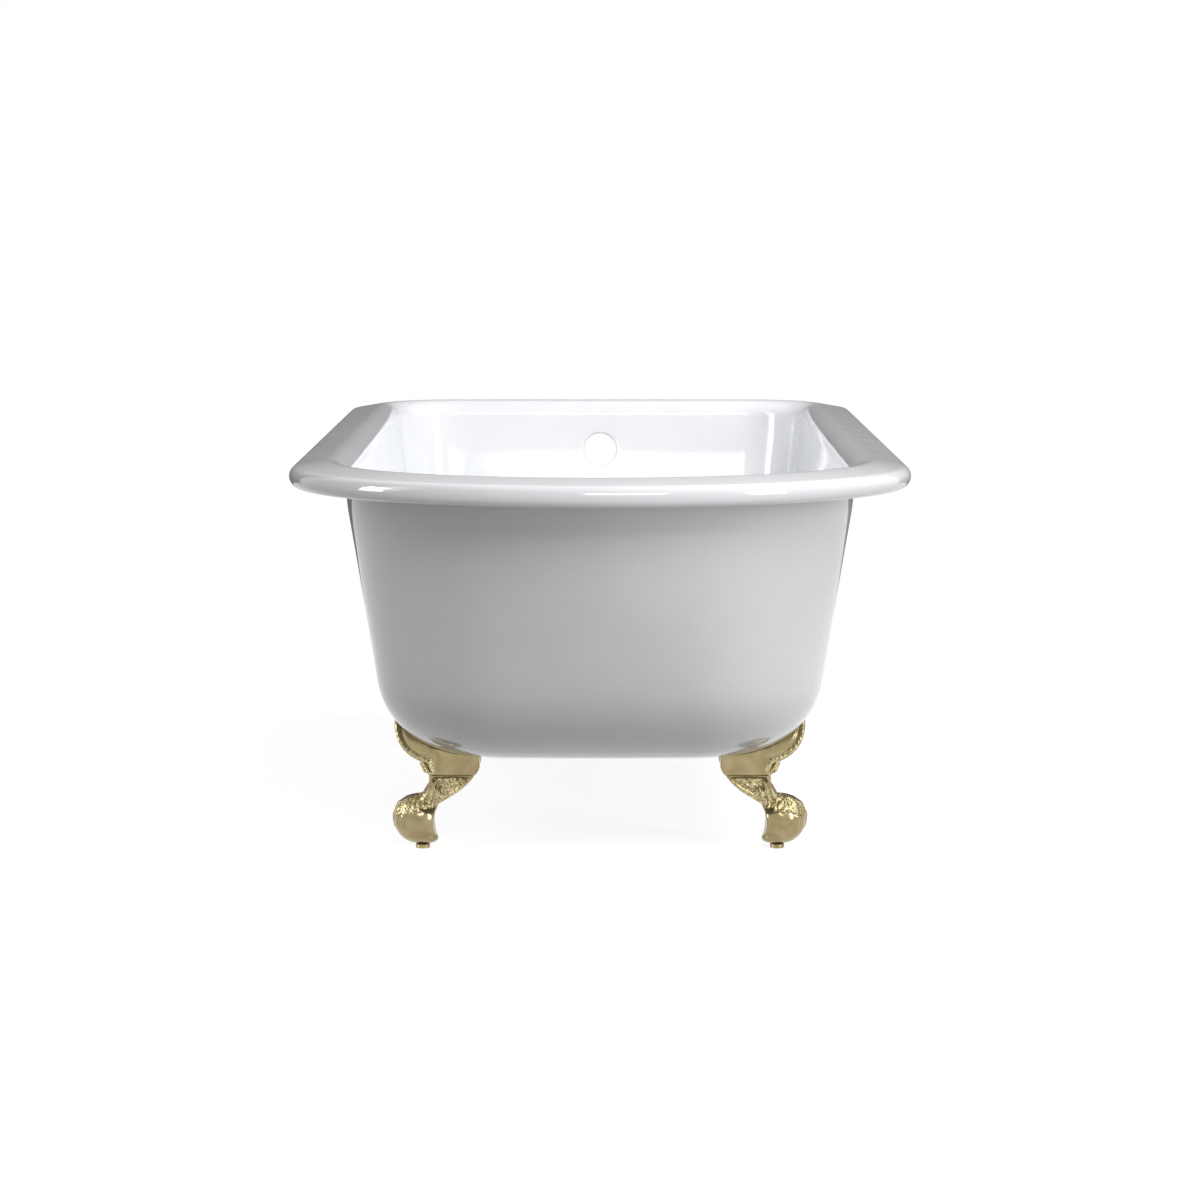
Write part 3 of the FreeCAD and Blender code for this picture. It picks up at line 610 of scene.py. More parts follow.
@dataclass
class Tub:
    """The enamelled casting: lofted walls, a rolled rim, bosses, waste and overflow holes."""

    node: str = "tub"
    rim_reach: float = 0.069
    rim_corner: float = 0.165
    head_rise: float = 0.359
    nose_radius: float = 0.0132
    lip_turn: float = math.radians(200.0)
    crown_drop: float = 0.0061
    shoulder_radius: float = 0.027
    neck_drop: float = 0.0385
    wall: float = 0.007
    sole_thickness: float = 0.009
    sole_height: float = 0.132
    sole_corner: float = 0.060
    sole_arch_share: float = 0.3
    flank_share: float = 0.975
    arch_power: float = 0.4
    side: WallFace = WallFace(math.radians(8.1), 0.118)
    head: WallFace = WallFace(math.radians(32.5), 0.260)
    tap: WallFace = WallFace(math.radians(11.0), 0.110)
    waste_inset: float = 0.330
    waste_radius: float = 0.026
    waste_dish_radius: float = 0.038
    waste_dish_depth: float = 0.002
    overflow_drop: float = 0.0765
    overflow_radius: float = 0.026
    edge_radius: float = 0.0022
    boss_radius: float = 0.017
    boss_depth: float = 0.008
    boss_edge: float = 0.001
    mouth_sweep: float = math.radians(80.0)
    mouth_steps: int = 8
    lathe_steps: int = 96
    arc_steps: int = 20
    line_steps: int = 10
    column_counts: tuple[int, ...] = (16, 40, 30, 22, 24)
    bend_counts: tuple[int, ...] = (10, 14, 9, 24, 16)
    cut_walls: int = 4
    dish_edges: int = 3
    smooth_angle: float = math.radians(40.0)

    def __post_init__(self) -> None:
        """Takes the overall size from the frame."""
        low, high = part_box(self.node)
        self.half = high.x
        self.half_length = high.y
        self.height = high.z
        self.neck = self.height - self.neck_drop

    def inset(self, face: WallFace, level: float, skin: Skin) -> float:
        """How far a face lies inside the rim's nose at one level.

        Args:
            face: The side, head or tap face.
            level: The height over the floor.
            skin: Which face of the wall.

        Returns:
            The inset.
        """
        radius = face.radius - skin.value * self.wall
        top = self.rim_reach + skin.value * self.wall
        base = self.base(skin)
        arc_top = base + radius * (1 - math.sin(face.lean))
        if level >= arc_top:
            return top + (self.neck - level) * math.tan(face.lean)
        sole = top + (self.neck - arc_top) * math.tan(face.lean) + radius * math.cos(face.lean)
        fall = radius - (level - base)
        return sole - math.sqrt(max(radius**2 - fall**2, 0.0))

    def base(self, skin: Skin) -> float:
        """The height of the sole's face.

        Args:
            skin: Which face of the wall.

        Returns:
            The height over the floor.
        """
        return self.sole_height + skin.value * self.sole_thickness

    def outline(
        self, half: float, head: float, tap: float, spring: float, flank: float, corner: float
    ) -> np.ndarray:
        """Plan of the tub at one level: a three-centred arch at the head, round corners at the tap.

        Args:
            half: Half the width.
            head: Inset at the head.
            tap: Inset at the tap end.
            spring: Where the head's arch springs from the straight sides, from the rim's end.
            flank: Radius of the arch's flanks.
            corner: Radius of the corners.

        Returns:
            The ring of points, anticlockwise from the head's middle.
        """
        crowns, flanks, sides, corners, taps = self.column_counts
        rise = spring - head
        flank_x = half - flank
        crown = (flank_x**2 + rise**2 - flank**2) / (2 * (rise - flank))
        turn = math.atan2(crown - rise, flank_x)
        head_y = head - self.half_length
        spring_y = spring - self.half_length
        tap_y = self.half_length - tap
        right = np.concatenate(
            [
                arc_points((0.0, head_y + crown), crown, -QUARTER_TURN, -turn, crowns),
                arc_points((flank_x, spring_y), flank, -turn, 0.0, flanks),
                line_points((half, spring_y), (half, tap_y - corner), sides),
                arc_points((half - corner, tap_y - corner), corner, 0.0, QUARTER_TURN, corners),
                line_points((half - corner, tap_y), (0.0, tap_y), taps),
                np.array([[0.0, tap_y]]),
            ]
        )
        left = right[-2:0:-1] * np.array([-1.0, 1.0])
        return np.concatenate([right, left])

    def rim_ring(self, inset: float, level: float) -> np.ndarray:
        """One ring of the rim.

        Args:
            inset: How far inside the nose.
            level: The height over the floor.

        Returns:
            The ring's points.
        """
        flank = self.flank_share * self.head_rise
        plan = self.outline(
            self.half - inset, inset, inset, self.head_rise, flank - inset, self.rim_corner - inset
        )
        return np.column_stack([plan, np.full(len(plan), level)])

    def wall_ring(self, level: float, skin: Skin) -> np.ndarray:
        """One ring of the walls.

        Args:
            level: The height over the floor.
            skin: Which face of the wall.

        Returns:
            The ring's points.
        """
        base = self.base(skin)
        up = (level - base) / (self.neck - base)
        sole_half = self.half - self.inset(self.side, base, skin)
        sole_arch = self.sole_arch_share * sole_half
        neck_inset = self.rim_reach + skin.value * self.wall
        neck_flank = self.flank_share * self.head_rise - neck_inset
        rounding = up**self.arch_power
        arch = sole_arch + (self.head_rise - neck_inset - sole_arch) * rounding
        head = self.inset(self.head, level, skin)
        flank = self.flank_share * sole_arch
        flank += (neck_flank - flank) * rounding
        corner = self.sole_corner - skin.value * self.wall
        corner += (self.rim_corner - neck_inset - corner) * up
        plan = self.outline(
            self.half - self.inset(self.side, level, skin),
            head,
            self.inset(self.tap, level, skin),
            head + arch,
            flank,
            corner,
        )
        return np.column_stack([plan, np.full(len(plan), level)])

    def wall_levels(self, skin: Skin) -> list[float]:
        """Levels of the wall's rings, close together where it sweeps into the sole.

        Args:
            skin: Which face of the wall.

        Returns:
            Heights from the sole up to just under the neck.
        """
        base = self.base(skin)
        radius = self.side.radius - skin.value * self.wall
        sweep = np.linspace(0.0, QUARTER_TURN - self.side.lean, self.arc_steps, endpoint=False)
        arc_top = base + radius * (1 - math.sin(self.side.lean))
        levels = list(base + radius * (1 - np.cos(sweep)))
        levels += list(np.linspace(arc_top, self.neck, self.line_steps, endpoint=False))
        return levels

    def rim_section(self) -> np.ndarray:
        """Section of the rim from the outer neck, under the roll, round its lip and over to the inner neck.

        Returns:
            Rows of inset and height.
        """
        nose = np.array([self.nose_radius, self.height - self.crown_drop - self.nose_radius])
        shoulder = np.array([self.rim_reach + self.wall, self.height]) - self.shoulder_radius
        across = shoulder - nose
        spread = math.hypot(*across)
        slope = math.atan2(across[1], across[0])
        slope += math.asin((self.shoulder_radius - self.nose_radius) / spread)
        lip_middle = bend_points(nose, self.nose_radius - self.wall / 2, self.lip_turn, self.lip_turn, 1)[0]
        bends = [
            (shoulder, self.shoulder_radius - self.wall, -QUARTER_TURN, slope),
            (nose, self.nose_radius - self.wall, slope, self.lip_turn),
            (lip_middle, self.wall / 2, self.lip_turn + math.pi, self.lip_turn),
            (nose, self.nose_radius, self.lip_turn, slope),
            (shoulder, self.shoulder_radius, slope, -QUARTER_TURN),
        ]
        under_shoulder, under_nose, lip, over_nose, over_shoulder = (
            bend_points(*bend, count) for bend, count in zip(bends, self.bend_counts)
        )
        return np.concatenate([under_shoulder, under_nose, lip[1:-1], over_nose, over_shoulder])

    def rings(self) -> np.ndarray:
        """All rings of the skin, from the sole's underside over the rim to the inner sole.

        Returns:
            Points by ring, column and axis.
        """
        outer, inner = (
            [self.wall_ring(level, skin) for level in self.wall_levels(skin)] for skin in Skin
        )
        rim = [self.rim_ring(inset, level) for inset, level in self.rim_section()]
        return np.array(outer + rim + inner[::-1])

    def shell(self) -> Object:
        """Makes the closed skin of the casting.

        Returns:
            The object.
        """
        rings = self.rings()
        count, columns, _ = rings.shape
        return ringed_solid(rings.reshape(-1, 3).tolist(), count, columns, "tub_casting")

    def lathe(self, profile: Sequence[Pair], place: Matrix, name: str) -> Object:
        """Turns a profile about an axis into a closed solid.

        Args:
            profile: Rows of the distance along the axis and the radius.
            place: The axis as the Z of a frame.
            name: The object's name.

        Returns:
            The object.
        """
        angles = np.linspace(0.0, math.tau, self.lathe_steps, endpoint=False)
        points = [
            place @ Vector((radius * math.cos(angle), radius * math.sin(angle), along))
            for along, radius in profile
            for angle in angles
        ]
        return ringed_solid(points, len(profile), self.lathe_steps, name)

    def rounded_mouth(self, radius: float, level: float, outwards: float) -> list[Pair]:
        """Profile of a hole's rounded edge.

        Args:
            radius: The hole's radius.
            level: Where the face lies along the axis.
            outwards: The way out of the wall along the axis, 1 or -1.

        Returns:
            Rows of distance and radius, from inside the hole to the face.
        """
        turns = np.linspace(0.0, self.mouth_sweep, self.mouth_steps)
        edge = self.edge_radius
        return [
            (level - outwards * edge * (1 - math.sin(turn)), radius + edge * (1 - math.cos(turn)))
            for turn in turns
        ]

    def overflow_cutter(self) -> Object:
        """Makes the tool that opens the overflow in the tap end.

        Returns:
            The object.
        """
        level = self.height - self.overflow_drop
        inner_y = self.half_length - self.inset(self.tap, level, Skin.INNER)
        out = Vector((0.0, math.cos(self.tap.lean), -math.sin(self.tap.lean)))
        place = Matrix.Translation((0.0, inner_y, level)) @ out.to_track_quat("Z", "Y").to_matrix().to_4x4()
        inner = self.rounded_mouth(self.overflow_radius, 0.0, -1.0)[::-1]
        thickness = self.wall * math.cos(self.tap.lean)
        outer = self.rounded_mouth(self.overflow_radius, thickness, 1.0)
        reach = self.cut_walls * self.wall
        profile = [(-reach, inner[0][1])] + inner + outer + [(thickness + reach, outer[-1][1])]
        return self.lathe(profile, place, "overflow_cutter")

    def waste_cutter(self) -> Object:
        """Makes the tool that sinks the waste's dish and hole in the sole.

        Returns:
            The object.
        """
        top = self.base(Skin.INNER)
        place = Matrix.Translation((0.0, self.half_length - self.waste_inset, top))
        reach = self.cut_walls * self.wall
        dish = self.waste_dish_radius
        floor = -self.waste_dish_depth
        mouth = self.rounded_mouth(self.waste_radius, 0.0, 1.0)
        profile = [(-reach, self.waste_radius)] + [(along + floor, radius) for along, radius in mouth]
        foot = dish - self.dish_edges * self.edge_radius
        profile += [(floor, foot), (floor / 2, dish - self.edge_radius), (0.0, dish), (reach, dish)]
        return self.lathe(profile, place, "waste_cutter")

    def boss(self, corner: Corner) -> Object:
        """Makes the boss that holds a foot's stud.

        Args:
            corner: Which foot's.

        Returns:
            The object.
        """
        low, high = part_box(f"foot_{corner.value}")
        side = 1.0 if corner.turn == 0.0 else -1.0
        axis_x = self.half - self.inset(self.side, self.sole_height, Skin.OUTER)
        axis_z = self.sole_height + self.side.radius
        stud_low, stud_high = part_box(f"fixing_stud_{corner.value}")
        stud = (stud_low + stud_high) / 2
        out = Vector((stud.x - side * axis_x, 0.0, stud.z - axis_z)).normalized()
        centre = Vector((side * axis_x, (low.y + high.y) / 2, axis_z))
        place = Matrix.Translation(centre) @ out.to_track_quat("Z", "Y").to_matrix().to_4x4()
        skin = self.side.radius
        profile = [
            (skin - self.wall / 2, self.boss_radius),
            (skin + self.boss_depth - self.boss_edge, self.boss_radius),
            (skin + self.boss_depth, self.boss_radius - self.boss_edge),
        ]
        return self.lathe(profile, place, f"boss_{corner.value}")

    def build(self) -> Object:
        """Makes the casting with its bosses and holes.

        Returns:
            The finished object.
        """
        casting = self.shell()
        tools = [(self.boss(corner), "UNION") for corner in Corner]
        tools += [(self.overflow_cutter(), "DIFFERENCE"), (self.waste_cutter(), "DIFFERENCE")]
        for tool, operation in tools:
            modifier = casting.modifiers.new(tool.name, "BOOLEAN")
            modifier.operation = operation
            modifier.solver = "EXACT"
            modifier.object = tool
        graph = bpy.context.evaluated_depsgraph_get()
        mesh = bpy.data.meshes.new_from_object(casting.evaluated_get(graph))
        casting.modifiers.clear()
        casting.data = mesh
        for tool, _ in tools:
            bpy.data.objects.remove(tool)
        mesh.shade_smooth()
        mesh.set_sharp_from_angle(angle=self.smooth_angle)
        return casting

    def dress(self, casting: Object, finishes: Finishes) -> None:
        """Gives the casting its enamel and its place in the frame.

        Args:
            casting: The built object.
            finishes: The materials.
        """
        casting.data.materials.clear()
        casting.data.materials.append(finishes.enamel)
        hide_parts(self.node)
        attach(casting, "bath")


def soft_join(first: np.ndarray, second: np.ndarray, blend: float) -> np.ndarray:
    """Joins two distance fields with a rounded inside corner.

    Args:
        first: One field.
        second: The other.
        blend: How far the rounding reaches.

    Returns:
        The joined field.
    """
    near = np.maximum(blend - np.abs(first - second), 0.0) / blend
    return np.minimum(first, second) - near * near * blend / 4


def soft_cut(first: np.ndarray, tool: np.ndarray, blend: float) -> np.ndarray:
    """Cuts one distance field by another with a rounded edge.

    Args:
        first: The field that stays.
        tool: The field that is taken away.
        blend: How far the rounding reaches.

    Returns:
        The cut field.
    """
    return -soft_join(-first, tool, blend)


def soft_step(low: float, high: float, value: np.ndarray) -> np.ndarray:
    """Rises smoothly from 0 to 1.

    Args:
        low: Where it starts to rise.
        high: Where it has risen.
        value: The values.

    Returns:
        The shares.
    """
    share = np.clip((value - low) / (high - low), 0.0, 1.0)
    return share * share * (3 - 2 * share)


def ridge(side: np.ndarray, inset: float, width: float) -> np.ndarray:
    """A soft ridge that follows an outline.

    Args:
        side: Distance to the outline, negative inside.
        inset: How far inside the outline it runs.
        width: How wide it is.

    Returns:
        Shares from 0 to 1.
    """
    return np.exp(-(((side + inset) / width) ** 2))


def smooth_loop(points: Sequence[Pair], steps: int) -> np.ndarray:
    """Rounds a closed outline through its points.

    Args:
        points: The outline's points.
        steps: New points from each point to the next.

    Returns:
        The rounded outline.
    """
    knots = np.asarray(points)
    before, after, later = np.roll(knots, 1, 0), np.roll(knots, -1, 0), np.roll(knots, -2, 0)
    rows = []
    for share in np.linspace(0.0, 1.0, steps, endpoint=False):
        rows.append(
            0.5
            * (
                2 * knots
                + (after - before) * share
                + (2 * before - 5 * knots + 4 * after - later) * share**2
                + (3 * knots - before - 3 * after + later) * share**3
            )
        )
    return np.stack(rows, axis=1).reshape(-1, 2)


def outline_distance(loop: np.ndarray, across: np.ndarray, up: np.ndarray) -> np.ndarray:
    """Signed distance to a closed outline, negative inside.

    Args:
        loop: The outline's points.
        across: First coordinate of each place.
        up: Second coordinate of each place.

    Returns:
        The distances.
    """
    across, up = np.broadcast_arrays(across, up)
    nearest = np.full(across.shape, np.inf)
    inside = np.zeros(across.shape, dtype=bool)
    for (ax, ay), (bx, by) in zip(loop, np.roll(loop, -1, 0)):
        ex, ey = bx - ax, by - ay
        share = np.clip(((across - ax) * ex + (up - ay) * ey) / max(ex * ex + ey * ey, 1e-9), 0.0, 1.0)
        nearest = np.minimum(nearest, (across - ax - share * ex) ** 2 + (up - ay - share * ey) ** 2)
        if ey:
            crosses = ((ay > up) != (by > up)) & (across < ax + ex * (up - ay) / ey)
            inside ^= crosses
    return np.where(inside, -1.0, 1.0) * np.sqrt(nearest)


@dataclass(frozen=True)
class Pits:
    """Rounded grains at random places, for chased and pitted metal."""

    pitch: float
    seed: int
    size: int = 64

    def at(self, *places: np.ndarray) -> np.ndarray:
        """Reads the grain's height.

        Args:
            places: The three coordinates.

        Returns:
            Heights between 0 and 1.
        """
        table = np.random.default_rng(self.seed).random((self.size,) * 3).astype(np.float32)
        cells = [np.floor(place / self.pitch).astype(np.int32) for place in places]
        shares = [soft_step(0.0, 1.0, place / self.pitch - cell) for place, cell in zip(places, cells)]
        height = np.zeros(np.broadcast_shapes(*(place.shape for place in places)), dtype=np.float32)
        for corner in np.ndindex(2, 2, 2):
            weight = np.float32(1.0)
            for share, step in zip(shares, corner):
                weight = weight * (share if step else 1.0 - share)
            picks = [(cell + step) % self.size for cell, step in zip(cells, corner)]
            height = height + weight * table[picks[0], picks[1], picks[2]]
        return height


@dataclass(frozen=True)
class Leaf:
    """The leaf on the outer, upper part of the bracket: its edge, the groove inside it and its flutes."""

    half: float = 49.0
    start: Pair = (206.0, 222.0)
    rise: float = 16.0
    base: float = 118.0
    height: float = 70.0
    tip: float = 0.999
    power: float = 2.4
    edge: Pair = (2.5, 2.0)
    edge_rise: float = 0.7
    edge_wave: float = 0.4
    edge_waves: float = 150.0
    groove: Pair = (9.0, 2.4)
    groove_depth: float = 0.6
    chasing: float = 0.35
    band: Pair = (-11.0, -4.0)
    flute_depth: float = 0.5
    flute_pitch: float = 25.0
    flute_rise: Pair = (120.0, 136.0)
    flute_start: Pair = (200.0, 230.0)


@dataclass(frozen=True)
class Panel:
    """The pitted panel sunk in each side of the bracket."""

    outline: tuple[Pair, ...] = (
        (171.0, 96.5), (180.0, 86.0), (192.0, 77.5), (203.0, 71.5), (211.0, 76.0), (213.5, 86.0),
        (214.0, 96.5),
    )
    half: float = 34.0
    edge: Pair = (1.0, -1.4)
    foot: float = 74.0
    sink: float = 0.8
    slope: float = 0.16
    grain: Pits = Pits(2.6, 5)
    grain_depth: float = 2.4


@dataclass(frozen=True)
class Scroll:
    """The beaded scroll under the leaf, each roll with its offset outwards and up, radius and half length."""

    centre: Pair = (223.6, 109.0)
    reach: Pair = (13.0, 9.0)
    rolls: tuple[tuple[float, ...], ...] = (
        (0.0, 0.0, 6.6, 30.0), (5.2, 5.4, 4.2, 31.0), (-4.3, -6.3, 3.9, 27.0),
    )
    ring: Triple = (3.9, 30.0, 1.5)
    bead_count: int = 7
    bead_radius: float = 2.1
    bead_half: float = 31.0
    bead_start: Pair = (6.4, 9.5)
    bead_run: Pair = (12.0, 19.0)


@dataclass(frozen=True)
class Web:
    """The feathered web that lies over the ball."""

    scale: Pair = (11.0, 7.0)
    rise: float = 4.5
    droop: float = 6.2
    fringe: float = 6.0
    band: tuple[float, float, float, float] = (-2.0, 2.0, 30.0, 16.0)
    edge: Pair = (-1.2, 1.6)
    depth: float = 0.9
    feathering: float = 2.2
    balance: float = 0.4
    feather: Pits = Pits(1.0, 11)


@dataclass(frozen=True)
class Seating:
    """How a foot sits on the bath: its seat and the room for the boss, the stud and the screw."""

    gap: float = 0.3
    relief: float = 3.0
    relief_span: Pair = (30.0, 44.0)
    boss_hole: float = 17.6
    boss_span: Pair = (100.0, 126.6)
    stud_hole: float = 6.8
    stud_end: float = 150.0
    screw_bore: float = 5.6
    screw_end: float = 55.0


@dataclass
class ClawFoot:
    """A cast brass ball-and-claw foot, sculpted as a distance field in millimetres.

    The first axis runs outwards from the bath's middle plane, the second along the bath from the foot's own
    middle, the third up from the floor.
    """

    tub: Tub
    leaf: Leaf = Leaf()
    panel: Panel = Panel()
    scroll: Scroll = Scroll()
    web: Web = Web()
    seating: Seating = Seating()
    step: float = 1.0
    grid_out: Pair = (151.0, 273.0)
    grid_half: float = 56.0
    grid_up: Pair = (2.0, 190.0)
    ball_centre: Pair = (235.65, 38.4)
    ball_radius: float = 32.2
    ball_flat: float = 6.1
    bracket: tuple[Pair, ...] = (
        (155.2, 122.0), (155.4, 110.5), (161.0, 100.5), (171.5, 87.0), (184.5, 75.5), (200.5, 65.0),
        (211.0, 58.0), (222.0, 46.0), (236.0, 58.0), (226.0, 76.5), (220.6, 86.5), (218.6, 97.0),
        (218.8, 107.0), (222.0, 116.5), (230.0, 119.5), (239.0, 123.5), (248.5, 130.0), (257.5, 140.5),
        (263.0, 152.5), (265.2, 164.0), (264.0, 175.0), (259.0, 183.5), (240.0, 190.0), (155.2, 160.0),
    )
    hollow: tuple[Pair, ...] = (
        (150.0, 117.0), (176.0, 117.5), (200.0, 121.0), (222.0, 130.0), (214.0, 108.0), (203.0, 88.0),
        (190.0, 82.0), (150.0, 70.0),
    )
    hollow_half: float = 17.0
    ledge: float = 101.0
    ledge_edge: Pair = (-1.6, 1.2)
    tendons: tuple[tuple[Pair, Pair], ...] = (
        ((216.5, 98.0), (226.0, 69.0)), ((212.5, 91.0), (220.5, 65.0)), ((206.0, 82.0), (214.5, 62.0)),
    )
    tendon_radii: Pair = (1.5, 2.4)
    toe_spread: float = math.radians(51.0)
    scoop_centre: Pair = (196.0, 36.0)
    scoop_radii: Triple = (21.4, 60.0, 27.4)
    lip_centre: Triple = (222.0, 0.0, 15.0)
    lip_radii: Triple = (13.0, 22.0, 8.2)
    plate_half: float = 43.5
    plate_top: float = 125.0
    plate_taper: float = 0.05
    tendon_half: float = 33.5
    tendon_foot_half: float = 33.0
    taper: float = 0.40
    claw_ribs: tuple[float, ...] = (-17.0, -6.0, 6.0, 17.0)
    rib_knots: tuple[tuple[float, ...], ...] = (
        (218.0, 1.0, 99.0, 3.6), (219.0, 0.62, 85.0, 3.0), (226.0, 0.95, 72.0, 3.6),
    )
    hollow_reach: int = 3
    hollow_gain: float = 1.1
    toe_steps: tuple[Triple, ...] = (
        (30.0, 8.0, 1.6), (52.0, 7.2, 2.4), (66.0, 6.6, 1.6), (80.0, 5.6, 2.3), (92.0, 4.2, 1.5),
        (104.0, 2.4, 1.2), (112.0, 1.0, 0.9),
    )

    def __post_init__(self) -> None:
        """Takes the tub's wall, the stud and the levelling screw as they stand."""
        tub = self.tub
        sole_half = tub.half - tub.inset(tub.side, tub.sole_height, Skin.OUTER)
        self.wall_radius = tub.side.radius / MM
        self.wall_axis = (sole_half / MM, (tub.sole_height + tub.side.radius) / MM)
        stud_low, stud_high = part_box(f"fixing_stud_{Corner.HEAD_RIGHT.value}")
        stud = (stud_low + stud_high) / 2 / MM
        self.stud = (stud.x, stud.z)
        screw_low, screw_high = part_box(f"levelling_screw_{Corner.HEAD_RIGHT.value}")
        self.screw_out = (screw_low.x + screw_high.x) / 2 / MM
        self.grid = self.axes()

    def axes(self) -> tuple[np.ndarray, np.ndarray, np.ndarray]:
        """Lays out the sculpting grid.

        Returns:
            The three axes, shaped to broadcast against each other.
        """
        out = np.arange(*self.grid_out, self.step, dtype=np.float32)[:, None, None]
        half = self.grid_half
        along = np.arange(-half, half + self.step, self.step, dtype=np.float32)[None, :, None]
        up = np.arange(*self.grid_up, self.step, dtype=np.float32)[None, None, :]
        return out, along, up

    def capsule(self, start: Sequence[float], end: Sequence[float], radii: Pair) -> np.ndarray:
        """Distance to a tapered rod with round ends.

        Args:
            start: Where it starts.
            end: Where it ends.
            radii: The radius at each end.

        Returns:
            The field.
        """
        first, last = np.asarray(start, dtype=np.float32), np.asarray(end, dtype=np.float32)
        way = last - first
        offsets = [axis - place for axis, place in zip(self.grid, first)]
        share = np.clip(sum(offset * part for offset, part in zip(offsets, way)) / (way @ way), 0.0, 1.0)
        gap = np.sqrt(sum((offset - share * part) ** 2 for offset, part in zip(offsets, way)))
        return gap - (radii[0] + (radii[1] - radii[0]) * share)

    def chain(self, knots: Sequence[tuple[Sequence[float], float]], blend: float) -> np.ndarray:
        """Tapered rods from knot to knot, softly joined.

        Args:
            knots: The place and the radius of each knot.
            blend: How far the rounding between the rods reaches.

        Returns:
            The field.
        """
        pairs = list(zip(knots, knots[1:]))
        rods = [self.capsule(start, end, (first, last)) for (start, first), (end, last) in pairs]
        whole = rods[0]
        for rod in rods[1:]:
            whole = soft_join(whole, rod, blend)
        return whole

    def ellipsoid(self, centre: Sequence[float], radii: Sequence[float]) -> np.ndarray:
        """Near distance to an ellipsoid.

        Args:
            centre: Its middle.
            radii: Its three radii.

        Returns:
            The field.
        """
        parts = zip(self.grid, centre, radii)
        scaled = sum(((axis - place) / radius) ** 2 for axis, place, radius in parts)
        return (np.sqrt(scaled) - 1.0) * min(radii)

    def rod_along(self, centre: Sequence[float], radius: float, half: float) -> np.ndarray:
        """Distance to a round bar lying along the bath.

        Args:
            centre: Its middle, outwards and up.
            radius: Its radius.
            half: Half its length.

        Returns:
            The field.
        """
        out, along, up = self.grid
        round_gap = np.hypot(out - centre[0], up - centre[1]) - radius
        return np.maximum(round_gap, np.abs(along) - half)

    def leaf_share(self) -> np.ndarray:
        """Where the leaf on the outer, upper part of the bracket lies.

        Returns:
            Shares from 0 to 1.
        """
        out, _, up = self.grid
        return soft_step(*self.leaf.start, out) * soft_step(self.ledge, self.ledge + self.leaf.rise, up)

    def half_width(self, side: np.ndarray) -> tuple[np.ndarray, np.ndarray]:
        """Half the bracket's width along the bath at each place of its side view.

        Args:
            side: Distance to the bracket's outline.

        Returns:
            The half widths, and where the surface is chased with grain.
        """
        out, _, up = self.grid
        leaf = self.leaf_share()
        turn = np.arctan2(self.wall_axis[1] - up, out - self.wall_axis[0])
        tip = np.clip((up - self.leaf.base) / self.leaf.height, 0.0, self.leaf.tip)
        waves = self.leaf.edge_rise + self.leaf.edge_wave * np.cos(turn * self.leaf.edge_waves)
        leaf_half = self.leaf.half * np.sqrt(1.0 - tip**self.leaf.power)
        leaf_half = leaf_half + ridge(side, *self.leaf.edge) * waves
        leaf_half -= self.leaf.groove_depth * ridge(side, *self.leaf.groove)
        plate_half = self.plate_half - self.plate_taper * np.maximum(self.plate_top - up, 0.0)
        upper = plate_half * (1 - leaf) + leaf_half * leaf
        panel = outline_distance(smooth_loop(self.panel.outline, steps=6), out, up)
        inside = soft_step(*self.panel.edge, panel)
        lower = self.panel.half - self.taper * (self.ledge - up)
        sink = self.panel.sink + self.panel.slope * np.maximum(up - self.panel.foot, 0.0)
        lower = lower - inside * sink
        above = soft_step(*(self.ledge + edge for edge in self.ledge_edge), up)
        rough_leaf = self.leaf.chasing * soft_step(*self.leaf.band, side) * leaf * above
        chased = inside * (1 - above) + rough_leaf
        return lower * (1 - above) + upper * above, chased

    def body(self) -> tuple[np.ndarray, np.ndarray]:
        """The bracket: the leaf that hugs the tub, the smooth plate, the pitted panel and the tendons.

        Returns:
            The field, and where the surface is chased.
        """
        out, along, up = self.grid
        side = outline_distance(smooth_loop(self.bracket, steps=8), out, up)
        half, chased = self.half_width(side)
        waves = self.leaf.flute_depth * (1.0 - np.cos(along * (math.tau / self.leaf.flute_pitch))) / 2
        flutes = waves * soft_step(*self.leaf.flute_rise, up)
        flutes = flutes * soft_step(*self.leaf.flute_start, out)
        grain = self.panel.grain.at(out, along, up)
        faces = np.abs(along) - half - chased * (grain - 0.5) * self.panel.grain_depth
        field_now = -soft_join(-(side + flutes), -faces, blend=5.0)
        for offset in self.claw_ribs:
            knots = [((at, offset * share, height), radius) for at, share, height, radius in self.rib_knots]
            field_now = soft_join(field_now, self.chain(knots, blend=2.0), blend=3.0)
        for start, end in self.tendons:
            for side_sign in (-1.0, 1.0):
                top_half = self.tendon_half - self.taper * (self.ledge - start[1])
                foot_half = self.tendon_foot_half - self.taper * (self.ledge - end[1])
                top = (start[0], side_sign * top_half, start[1])
                foot = (end[0], side_sign * foot_half, end[1])
                tendon = self.capsule(top, foot, self.tendon_radii)
                field_now = soft_join(field_now, tendon, blend=1.2)
        scroll_gap = np.hypot(out - self.scroll.centre[0], up - self.scroll.centre[1])
        near_scroll = soft_step(*self.scroll.reach, scroll_gap)
        return field_now, np.maximum(chased, near_scroll)

